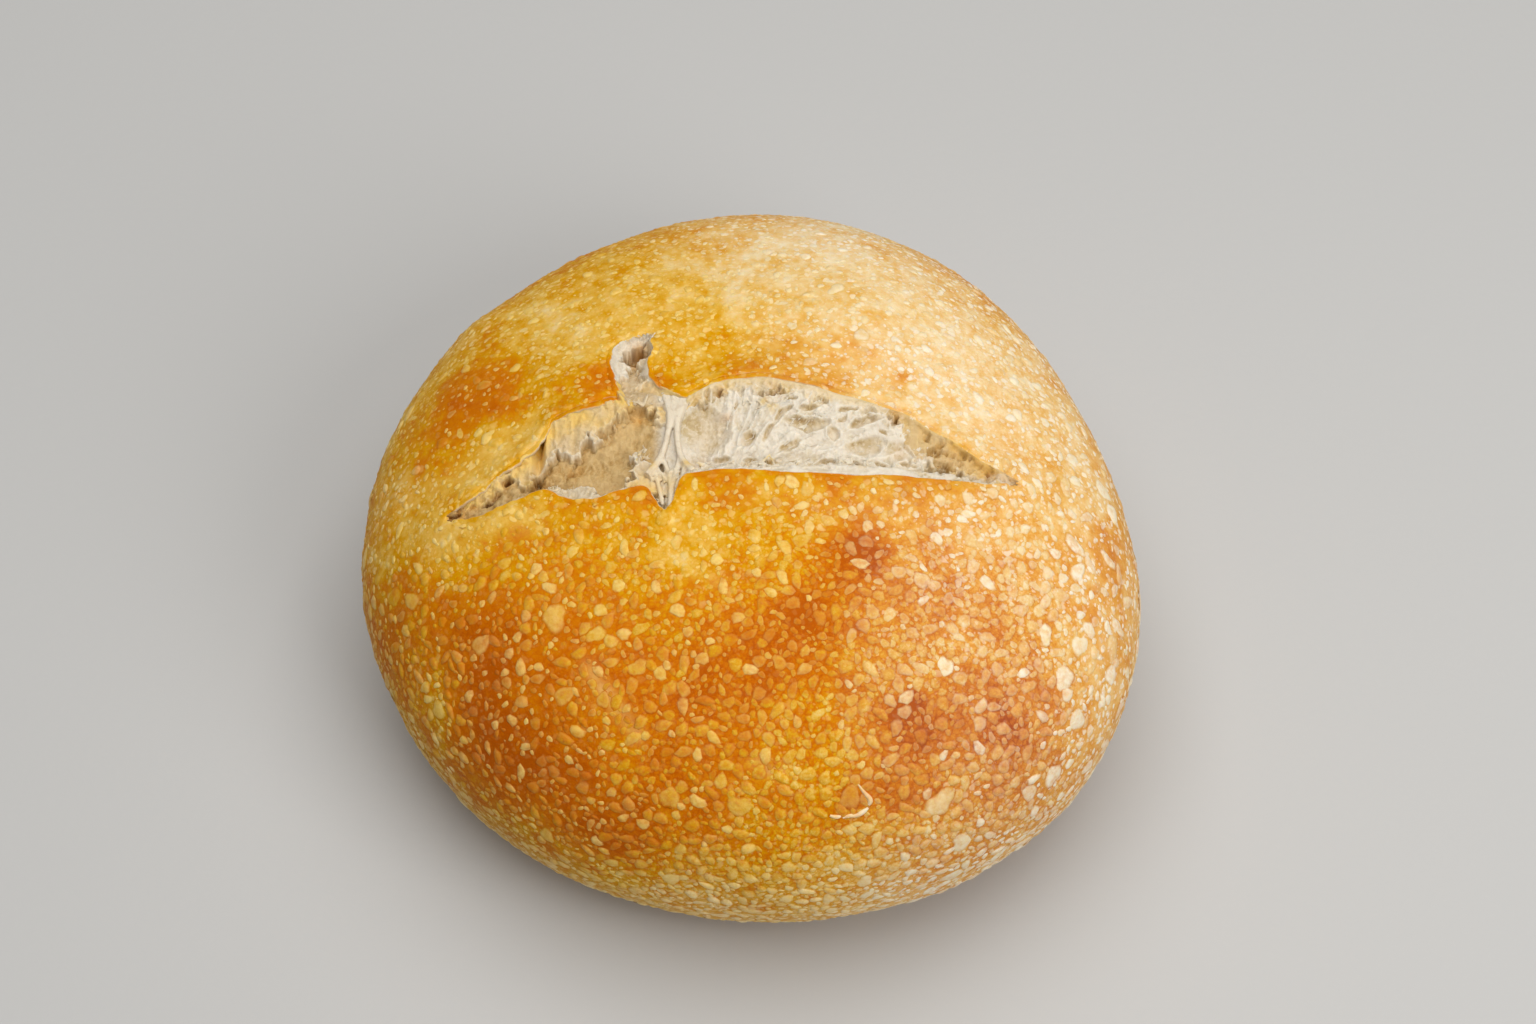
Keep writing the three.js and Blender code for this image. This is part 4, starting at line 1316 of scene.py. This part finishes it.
# %% Marks for its colours
by_back_lip = (1 - ease(back_gap, 0.6, 3.0)) * ease(-x, -34, -24) * in_right
marks = {
    "web": np.clip(np.maximum.reduce([
        walls * (1 - hung), (0.9 * threads + 0.4 * fine_threads) * open_right * (1 - hung),
        0.9 * shreds * foot, edge * (0.9 + 1.0 * uneven), 0.7 * strings, 1.2 * laced * lace,
    ]), 0, 1),
    # Painted shade, darker where the crumb lies low: in cells, folds and lumps, under skins' edges, in
    # lace gaps, pits and shaded corners.
    "hollow": np.clip(
        0.25 * hollow + 0.5 * shade + 0.25 * sags + 0.30 * uneven + 0.22 * fibres + 0.12 * grain
        + 0.28 * under + 0.5 * laced * (1 - lace) + (0.4 + 0.3 * in_right) * ends * pits
        + near(x, y, SHADED), -0.4, 1.2,
    ),
    "tan": np.clip(tan, 0, 1),
    "amber": near(x, y, AMBER) * (0.8 + 0.8 * uneven),
    "yellow": np.clip(np.maximum(yellow, 0.42 * by_back_lip), 0, 1),
}

# %% Shape the sheet and close it below
rim = [edge for edge in sheet.edges if edge.is_boundary]
for vert, height in zip(sheet.verts, heights):
    vert.co.z = height * MM
top_count = len(sheet.verts)
skirt = bmesh.ops.extrude_edge_only(sheet, edges=rim)["geom"]
for item in skirt:
    if isinstance(item, bmesh.types.BMVert):
        item.co.z = CRUMB_BOTTOM * MM
lower_rim = [edge for edge in sheet.edges if edge.is_boundary]
bmesh.ops.holes_fill(sheet, edges=lower_rim, sides=0)
bmesh.ops.recalc_face_normals(sheet, faces=sheet.faces)
crumb = piece_of("crumb", sheet)
spare = len(crumb.data.vertices) - top_count
for name, values in marks.items():
    mark(crumb.data, name, np.append(values, np.zeros(spare)))
crumb_surface = BVHTree.FromPolygons(
    [Vector(p) for p in points_of(crumb.data)],
    [tuple(face.vertices) for face in crumb.data.polygons],
)
print("crumb:", triangles(crumb), "triangles")

# %% [markdown]
# ### Open crumb
#
# Crumb is moist, pale and a little see-through, and its thin walls look whiter than its folds.
# One flat colour with a strong light would look like plaster. So the marks on the mesh choose
# between white crumb, tan skin, browned edges and yellow flecks, painted shade darkens the hollows
# and deep holes, and a wide, even subsurface lets the light through. A fine bump gives the pores
# that no vertex carries.

# %% The crumb's colours
# Each ramp runs from the top of a wall down into a hollow, where it darkens as painted shade.
WHITE_RAMP = [
    (0.0, (218, 206, 187)), (0.3, (207, 191, 162)), (0.6, (193, 171, 126)), (1.0, (160, 127, 74)),
]
TAN_RAMP = [
    (0.0, (200, 166, 108)), (0.3, (182, 144, 82)), (0.6, (156, 114, 55)), (1.0, (118, 77, 30)),
]
AMBER_RAMP = [(0.1, (206, 150, 62)), (0.9, (140, 86, 26))]
WHITE_FILM = (230, 220, 202)
TAN_FILM = (211, 181, 126)
YELLOW_FLECK = (228, 190, 106)


# %% The crumb's finish
def open_crumb():
    """The finish of the crumb and of its threads."""
    inner = Finish(
        "open_crumb",
        Specular_IOR_Level=0.2,
        Subsurface_Weight=0.4,
        Subsurface_Radius=(1.0, 0.85, 0.65),
        Subsurface_Scale=1.1 * MM,
    )
    fine = inner.swing(inner.noise(0.9, 4, 0.65), 0.7)
    # Painted shade from the hollow mark, with noise of two sizes in it.
    hollow = inner.add(inner.marked("hollow"), inner.add(inner.swing(inner.noise(3.0, 3), 0.5), fine))
    white, tan = inner.ramp(hollow, WHITE_RAMP), inner.ramp(hollow, TAN_RAMP)
    amber = inner.ramp(hollow, AMBER_RAMP)
    body = inner.mix(inner.marked("tan"), white, tan)
    thin = inner.times(inner.marked("web"), inner.span(inner.noise(1.2, 2), 0.25, 0.55))
    film = inner.mix(inner.marked("tan"), paint(*WHITE_FILM), paint(*TAN_FILM))
    body = inner.mix(thin, body, film)
    body = inner.mix(inner.marked("amber"), body, amber)
    body = inner.mix(inner.marked("yellow"), body, paint(*YELLOW_FLECK))
    gloss = inner.span(inner.noise(1.4, 2), 0.3, 0.7, 0.42, 0.62)
    pores = inner.span(inner.cells(0.8, place=inner.warped(0.9, 0.7)).outputs["Distance"], 0.1, 0.4)
    fuzz = inner.bump(inner.noise(0.7, 4, 0.7), 0.22)
    return inner.finish(body, gloss, inner.bump(pores, 0.06, under=fuzz))


crumb_finish = open_crumb()
dress(crumb, crumb_finish)
print(crumb_finish.name + ":", len(crumb_finish.node_tree.nodes), "nodes")

# %% [markdown]
# ## Torn lips
#
# The crust tore along the slash, and its thin edge curled up and dried. The fine crust is too
# coarse for so thin an edge, so a ribbon of its own follows each lip: it starts flush with the
# crust, rises to the edge and rolls over into the tear. Noise of three sizes makes it ragged,
# most of all on the left, and a solidify modifier gives it a crust's thickness.

# %% Paths along the lips
STEP = 0.4                 # spacing of the points along a path
FINE_STEP = 0.25           # and of the points that it is first drawn through
END_GAP = 0.6              # how far from the tips the paths end


def evenly(points):
    """A path's points at an even spacing."""
    points = np.array(points, float)
    far = np.append(0, np.cumsum(np.linalg.norm(np.diff(points, axis=0), axis=1)))
    at = np.arange(0, far[-1], STEP)
    return np.stack([np.interp(at, far, column) for column in points.T], axis=1)


def softened(values, reach):
    """Rows of values, each averaged with its neighbours over this reach along the path."""
    half = int(reach / STEP / 2)
    padded = np.pad(values, ((half, half), (0, 0)), mode="edge")
    weights = np.ones(2 * half + 1) / (2 * half + 1)
    return np.stack([np.convolve(column, weights, "valid") for column in padded.T], axis=1)


def inward(path):
    """The level direction into the tear, which lies on the left of a path."""
    run = np.gradient(path, axis=0)
    run /= np.linalg.norm(run, axis=1)[:, None]
    return np.stack([-run[:, 1], run[:, 0]], axis=1)


def lip_points(lip, start, end):
    """Points along one lip of the slash, from x start to x end."""
    xs = np.linspace(start, end, int(abs(end - start) / FINE_STEP))
    return list(zip(xs, along(lip, xs)))


def side_points(lip, start, end):
    """Points along one lip of the side tear, from y start to y end."""
    ys = np.linspace(start, end, int(abs(end - start) / FINE_STEP))
    return list(zip(along(lip, ys), ys))


def heights_on(surface, places, otherwise=0.0):
    """Height of a surface under each place."""
    hits = [surface.ray_cast(Vector((px, py, ABOVE)), DOWN)[0] for px, py in places]
    return np.array([hit.z if hit else otherwise for hit in hits])


# %% The three paths
WEST_CORNER, EAST_CORNER = (-30.4, 9.2), (-14.2, 10.2)   # where the side tear leaves the slash
front_path = evenly(lip_points(FRONT_LIP, LEFT_TIP + END_GAP, RIGHT_TIP - END_GAP))
right_path = evenly(
    lip_points(BACK_LIP, RIGHT_TIP - END_GAP, EAST_CORNER[0])
    + side_points(EAST_LIP, EAST_CORNER[1], SIDE_TIP - END_GAP)
)
left_path = evenly(
    side_points(WEST_LIP, SIDE_TIP - END_GAP, WEST_CORNER[1])
    + lip_points(BACK_LIP, WEST_CORNER[0], LEFT_TIP + END_GAP)
)
print("points along the lips:", len(front_path), len(right_path), len(left_path))

# %% A ribbon along a lip
# A lip's section: how far into the tear, how high above the crust beside it, and how torn.
LIP_SECTION = [
    (-1.9, -0.50, 0.0), (-1.2, -0.10, 0.0), (-0.6, 0.10, 0.0), (0.0, 0.16, 0.0),
    (0.16, 0.08, 0.35), (0.24, -0.14, 0.8), (0.24, -0.6, 0.9), (0.0, -1.5, 1.0),
]
LIP_THICKNESS = 0.28
RAGGED = [(4.2, 0.50), (1.7, 0.34), (0.8, 0.16)]     # size and depth of the ragged edge's teeth
LIP_FADE = 4.0             # over this length a ribbon grows out of the crust at its ends
SUNK_END = 1.3             # and how deep in the crust it starts
PATH_REACH = 1.6           # reach over which a path is softened
LEVEL_REACH = 2.0          # and over which the crust's level beside it is
READ_OUTSIDE = 1.7         # how far outside the lip that level is read
LIP_BAKE = 0.05            # how much browner a lip is than the crust


def lip_ribbon(name, path, seed):
    """A thin curled edge of crust along a path."""
    path = softened(path, PATH_REACH)
    into = softened(inward(path), PATH_REACH)
    level = heights_on(crust_surface, path - READ_OUTSIDE * into)
    level = softened(level[:, None], LEVEL_REACH)[:, 0]
    spots = np.column_stack([path, level])
    wild = 0.35 + 0.65 * (1 - ease(path[:, 0], -22, -10))
    teeth = wild * sum(
        depth * lumps(spots, size, seed + i) for i, (size, depth) in enumerate(RAGGED)
    )
    curl = wild * (0.12 + 0.30 * lumps(spots, 3.0, seed + 3))
    ends = np.minimum(np.arange(len(path)), np.arange(len(path))[::-1]) * STEP
    grown = ease(ends, 0, LIP_FADE)
    section = np.array(LIP_SECTION)

    def place(u, v):
        i = np.rint(u * (len(path) - 1)).astype(int)
        j = np.rint(v * (len(section) - 1)).astype(int)
        loose = np.clip(j - 1, 0, 3) / 3 * grown[i]
        out = section[j, 0] * (0.3 + 0.7 * grown[i]) + teeth[i] * loose
        height = level[i] + section[j, 1] + curl[i] * loose - SUNK_END * (1 - grown[i])
        return np.column_stack([path[i] + out[:, None] * into[i], height])

    bm, u, v = woven(len(path) - 1, len(section) - 1, place)
    bmesh.ops.recalc_face_normals(bm, faces=bm.faces)
    piece = piece_of(name, bm)
    lane = np.rint(v * (len(section) - 1)).astype(int)
    mark_skin(piece.data, browner=LIP_BAKE)
    mark(piece.data, "torn", section[lane, 2])
    mark(piece.data, "cobbled", 0 * u)
    wall = piece.modifiers.new("wall", "SOLIDIFY")
    wall.thickness = LIP_THICKNESS * MM
    wall.offset = -1
    settle(piece)
    dress(piece, crust_finish)
    print(name + ":", triangles(piece), "triangles")


lip_ribbon("front_lip", front_path, 51)
lip_ribbon("back_lip_right", right_path, 56)
lip_ribbon("back_lip_left", left_path, 61)

# %% [markdown]
# ## The bridge and the threads
#
# Gluten stretches into strands before it breaks. One web still joins the lips, and finer
# threads cross the cells. Metaballs would melt into each other too, but their thickness is hard
# to steer. So each strand is a curve with its own thickness along it, and all of them are fused
# by a voxel remesh, so that they meet in soft webs instead of crossing tubes.

# %% The web that joins the lips
# Each strand is a list of places: x, y, depth under the crust's level, and radius.
BRIDGE = [
    [(-20.2, 12.4, 2.8, 1.9), (-19.2, 8.8, 2.2, 1.8), (-18.8, 5.2, 1.9, 1.2),
     (-19.2, 2.4, 1.9, 0.85), (-20.0, -2.5, 2.3, 0.75),
     (-21.6, -7.5, 2.1, 0.95), (-24.2, -11.6, 1.4, 1.2)],
    [(-15.0, 12.0, 2.6, 1.8), (-16.0, 8.8, 2.0, 1.7), (-17.0, 5.2, 1.9, 1.2),
     (-17.3, 2.4, 1.9, 0.90), (-17.0, -3, 2.3, 0.85),
     (-15.8, -8, 2.0, 1.0), (-13.0, -11.4, 1.1, 1.2)],
    [(-17.6, 11.0, 2.6, 1.9), (-17.8, 7.0, 2.0, 1.6), (-18.0, 4.2, 1.9, 1.0), (-18.3, 2.4, 2.0, 0.5)],
    [(-20.8, -5.6, 2.3, 0.7), (-19.2, -9.6, 2.2, 0.55), (-18.4, -14.0, 1.6, 0.8),
     (-18.2, -18.0, 1.2, 0.9), (-18.6, -21.0, 0.9, 0.6)],
    [(-16.4, -6.6, 2.2, 0.8), (-17.4, -10.6, 2.1, 0.6), (-18.0, -15.0, 1.6, 0.7)],
    [(-22.4, -9.0, 2.0, 0.8), (-21.8, -12.4, 1.9, 0.5), (-20.8, -16.5, 1.5, 0.7),
     (-20.2, -19.8, 1.2, 0.5)],
    [(-15.2, -9.4, 1.9, 0.8), (-15.4, -13.0, 1.4, 0.6), (-16.8, -16.0, 1.3, 0.6)],
]

# %% Upright flakes behind the front lip
SHREDS = [
    [(2.6, -9.6, 1.4, 0.5), (4.2, -7.8, 1.9, 0.45), (5.6, -5.4, 2.2, 0.12)],
    [(-3.4, -9.8, 1.4, 0.5), (-2.6, -8.0, 2.0, 0.4), (-1.8, -6.2, 2.6, 0.12)],
    [(6.4, -9.4, 1.4, 0.4), (5.8, -7.4, 2.2, 0.35), (5.2, -5.8, 2.6, 0.14)],
    [(11.6, -9.6, 1.3, 0.4), (12.4, -8.4, 1.8, 0.3), (13.0, -7.0, 2.2, 0.12)],
    [(22.4, -9.2, 1.4, 0.4), (22.0, -7.8, 1.9, 0.3), (21.8, -6.6, 2.4, 0.12)],
    [(28.8, -8.8, 1.4, 0.4), (28.6, -7.6, 1.8, 0.3), (28.2, -6.4, 2.2, 0.12)],
    [(35.0, -8.8, 1.4, 0.4), (35.2, -7.4, 1.9, 0.28), (35.4, -6.0, 2.4, 0.14)],
    [(42.4, -8.8, 1.2, 0.4), (42.2, -7.2, 1.7, 0.3), (41.6, -5.6, 2.2, 0.2)],
    [(-11.4, -9.8, 1.2, 0.6), (-10.0, -8.6, 1.8, 0.4), (-8.0, -7.8, 2.4, 0.2)],
]

# %% Fine threads over the cells
THREADS = 110
MISSED = 80.0              # the crumb's height where a ray misses it


def random_threads(seed):
    """Fine threads over the right lobe's cells, which spread like a fan."""
    draw = np.random.default_rng(seed)
    laid = []
    for _ in range(THREADS):
        start_x = draw.uniform(-6, 34)
        front, back = float(along(FRONT_LIP, start_x)), float(along(BACK_LIP, start_x))
        start_y = front + draw.uniform(0.22, 0.96) * (back - front)
        heading = math.atan2((start_y - FAN[1]) * FAN_SQUASH, start_x - FAN[0])
        heading += draw.normal(0, 0.22)
        far = np.linspace(0, draw.uniform(3, 8), 7)
        wiggle = draw.normal(0, 0.16, 7).cumsum() * 0.6
        xs = start_x - far * math.cos(heading) - wiggle * math.sin(heading)
        ys = start_y - far * math.sin(heading) + wiggle * math.cos(heading)
        keep = (into_tear(xs, ys) > 0.6) & (xs > -14)
        if keep.sum() < 4:
            continue
        xs, ys = xs[keep], ys[keep]
        bow = np.sin(np.linspace(0, math.pi, len(xs)))
        zs = heights_on(crumb_surface, np.column_stack([xs, ys]), MISSED)
        zs = zs - 0.06 + bow * draw.uniform(0.0, 0.45)
        radius = draw.uniform(0.09, 0.20) * (1.6 - bow)
        laid.append(np.column_stack([xs, ys, zs, radius]))
    return laid


# %% Short shreds
TUFTS = [                  # where they stand: x, y, reach each way, and how many
    (-19.5, -11.0, 5.5, 2.6, 46), (-19.0, -17.5, 2.2, 3.0, 16), (-12.5, -9.2, 3.0, 1.0, 12),
    (2.0, -8.6, 9.0, 0.8, 34), (24.0, -8.0, 14.0, 0.8, 34), (-43.0, -12.6, 5.0, 1.2, 26),
    (-25.5, -4.0, 1.6, 4.0, 18), (3.0, 8.6, 6.0, 2.2, 20), (-25.6, 9.6, 3.4, 0.8, 14),
]


def random_shreds(seed):
    """Short torn shreds that stand up from the crumb."""
    draw = np.random.default_rng(seed)
    laid = []
    for cx, cy, reach_x, reach_y, count in TUFTS:
        for _ in range(count):
            px, py = draw.normal((cx, cy), (0.5 * reach_x, 0.5 * reach_y))
            turn, length = draw.uniform(0, 2 * math.pi), draw.uniform(0.8, 2.2)
            way = [math.cos(turn), math.sin(turn)]
            flat = np.array([[px, py]]) + np.outer([0, 0.5, 1], way) * length
            if into_tear(*flat.T).min() < 0.5:
                continue
            base = heights_on(crumb_surface, flat[:1], MISSED)[0]
            rise = draw.uniform(0.2, 0.8) * length
            zs = base + np.array([-0.15, 0.4 * rise, 0.9 * rise])
            radii = np.array([0.42, 0.28, 0.12]) * draw.uniform(0.7, 1.2)
            laid.append(np.column_stack([flat, zs, radii]))
    return laid


# %% Round tubes along strands
def at_level(strand):
    """A strand given by depth, with heights instead."""
    xs, ys, depths, radii = np.array(strand, float).T
    return np.column_stack([xs, ys, crust_level(xs, ys) - depths, radii])


def tubes(name, strands):
    """A piece of closed round tubes, one along each strand."""
    curve = bpy.data.curves.new(name, "CURVE")
    curve.dimensions = "3D"
    curve.bevel_depth = MM
    curve.bevel_resolution = 1
    curve.use_fill_caps = True
    curve.resolution_u = 6
    for strand in strands:
        spline = curve.splines.new("NURBS")
        spline.points.add(len(strand) - 1)
        for point, (px, py, pz, radius) in zip(spline.points, strand):
            point.co = (px * MM, py * MM, pz * MM, 1)
            point.radius = radius
        spline.order_u = 3
        spline.use_endpoint_u = True
    piece = new_piece(name, curve)
    mesh = made_mesh(piece)
    bpy.data.objects.remove(piece)
    return new_piece(name, mesh)


# %% Fuse the strands
STRAND_GRID = 0.20         # the finest strand is about two of these across
SOFTENED = 5               # rounds of smoothing, which turn crossings into webs


def strand_web(name, strands):
    """All strands as round tubes, fused into one mesh."""
    piece = tubes(name, strands)
    fuse = piece.modifiers.new("fuse", "REMESH")
    fuse.mode = "VOXEL"
    fuse.voxel_size = STRAND_GRID * MM
    settle(piece)
    bm = bmesh.new()
    bm.from_mesh(piece.data)
    for _ in range(SOFTENED):
        bmesh.ops.smooth_vert(
            bm, verts=bm.verts, factor=0.5, use_axis_x=True, use_axis_y=True, use_axis_z=True
        )
    bm.to_mesh(piece.data)
    bm.free()
    places = points_of(piece.data)
    in_left = 1 - ease(places[:, 0], -26, -20)
    mark(piece.data, "web", 1.1 + 0.3 * lumps(places, 1.5, 95))
    # The strands take little of the painted shade.
    mark(piece.data, "hollow", np.full(len(places), -0.4))
    mark(piece.data, "tan", 0.22 + 0.3 * in_left)
    mark(piece.data, "yellow", near(places[:, 0], places[:, 1], FLECKS))
    dress(piece, crumb_finish)
    print(name + ":", triangles(piece), "triangles")


strand_web(
    "gluten_strands",
    [at_level(strand) for strand in BRIDGE + SHREDS] + random_threads(91) + random_shreds(92),
)

# %% [markdown]
# ## A burst blister
#
# A blister at the front burst while it dried. Its skin split, and curled up round the split in
# pale rims. A bump would leave them flat, so each rim is a short uneven roll of skin along a few
# places on the crust.

# %% Pale rims
# Each rim is a list of places: x, y, z, and radius.
RIMS = [
    [(25.8, -83.0, 71.1, 0.20), (27.4, -84.7, 69.6, 0.50), (29.3, -86.0, 67.9, 0.85),
     (28.4, -86.6, 67.2, 0.40)],
    [(28.4, -87.2, 66.7, 0.30), (27.0, -88.0, 65.9, 0.75), (25.4, -88.9, 65.4, 0.45),
     (24.0, -88.7, 65.7, 0.60), (22.4, -89.3, 65.4, 0.25)],
    [(22.0, -89.0, 65.8, 0.30), (20.9, -89.6, 65.6, 0.80), (19.4, -89.2, 66.2, 0.30)],
]
RIM_RISE = -0.05           # height of a rim's middle above the crust


def on_crust(strand, rise):
    """A strand's places, each moved to this height above the nearest crust."""
    moved = []
    for px, py, pz, radius in strand:
        spot, facing = crust_surface.find_nearest(Vector((px, py, pz)))[:2]
        moved.append((*(spot + facing * rise), radius))
    return moved


burst_rims = tubes("burst_rims", [on_crust(rim, RIM_RISE) for rim in RIMS])
rim_places = points_of(burst_rims.data)
mark(burst_rims.data, "bake", 0.34 + 0.25 * lumps(rim_places, 1.6, 97))
mark(burst_rims.data, "dry_and_sheen", np.full(len(rim_places), 0.8))
mark(burst_rims.data, "milk", 0.45 + 0.4 * lumps(rim_places, 1.2, 98))
dress(burst_rims, crust_finish)
print("burst_rims:", triangles(burst_rims), "triangles")

# %% [markdown]
# ## Floor, light and camera
#
# The loaf stands on a plain pale floor. Small lamps would make hard, bright spots on the
# blisters, so most of the light comes from one large soft light overhead. A smaller window at the
# front right fills that side, so that the near left side falls into gentle shade.

# %% The floor
FLOOR_SIZE = 4.0           # in metres
floor_bm = bmesh.new()
bmesh.ops.create_grid(floor_bm, x_segments=1, y_segments=1, size=FLOOR_SIZE / 2)
floor = piece_of("floor", floor_bm)
floor_finish = Finish("floor_paint")
floor_bump = floor_finish.bump(floor_finish.noise(3, 2), 0.05)
floor.data.materials.append(floor_finish.finish(paint(190, 189, 187), 0.7, floor_bump))
print("floor:", FLOOR_SIZE, "m across")

# %% The lights
LIGHT_AIM = Vector((0, 0, 0.05))
LIGHTS = [
    # name, place and size in metres, power in watts, and colour
    ("overhead", (0.02, 0.14, 1.5), 1.6, 22.8, (1.0, 0.995, 0.98)),
    ("window", (0.8, -0.75, 0.9), 0.8, 8.8, (1.0, 0.99, 0.97)),
]
ROOM_COLOUR = (0.95, 0.97, 1.0, 1)
ROOM_STRENGTH = 0.10


def soft_window(name, place, size, power, colour):
    """A square area light that faces the loaf."""
    light = bpy.data.lights.new(name, "AREA")
    light.shape = "SQUARE"
    light.size = size
    light.energy = power
    light.color = colour
    lamp = bpy.data.objects.new(name, light)
    bpy.context.scene.collection.objects.link(lamp)
    lamp.location = place
    toward = LIGHT_AIM - lamp.location
    lamp.rotation_euler = toward.to_track_quat("-Z", "Y").to_euler()


for light_settings in LIGHTS:
    soft_window(*light_settings)
world = bpy.data.worlds.new("room")
world.use_nodes = True
background = world.node_tree.nodes["Background"]
background.inputs["Color"].default_value = ROOM_COLOUR
background.inputs["Strength"].default_value = ROOM_STRENGTH
bpy.context.scene.world = world
bpy.context.scene.view_settings.view_transform = "Standard"

# %% The camera
CAMERA_PLACE = (4.9, -345.0, 609.9)
CAMERA_AIM = (4.9, 10.5, 41.0)
LENS, SENSOR_WIDTH = 60, 36
camera_data = bpy.data.cameras.new("camera")
camera_data.lens = LENS
camera_data.sensor_width = SENSOR_WIDTH
camera = bpy.data.objects.new("camera", camera_data)
bpy.context.scene.collection.objects.link(camera)
camera.location = Vector(CAMERA_PLACE) * MM
aim = Vector(CAMERA_AIM) - Vector(CAMERA_PLACE)
camera.rotation_euler = aim.to_track_quat("-Z", "Y").to_euler()
bpy.context.scene.camera = camera
print("camera:", round(aim.length), "mm from its aim, lens", LENS, "mm")
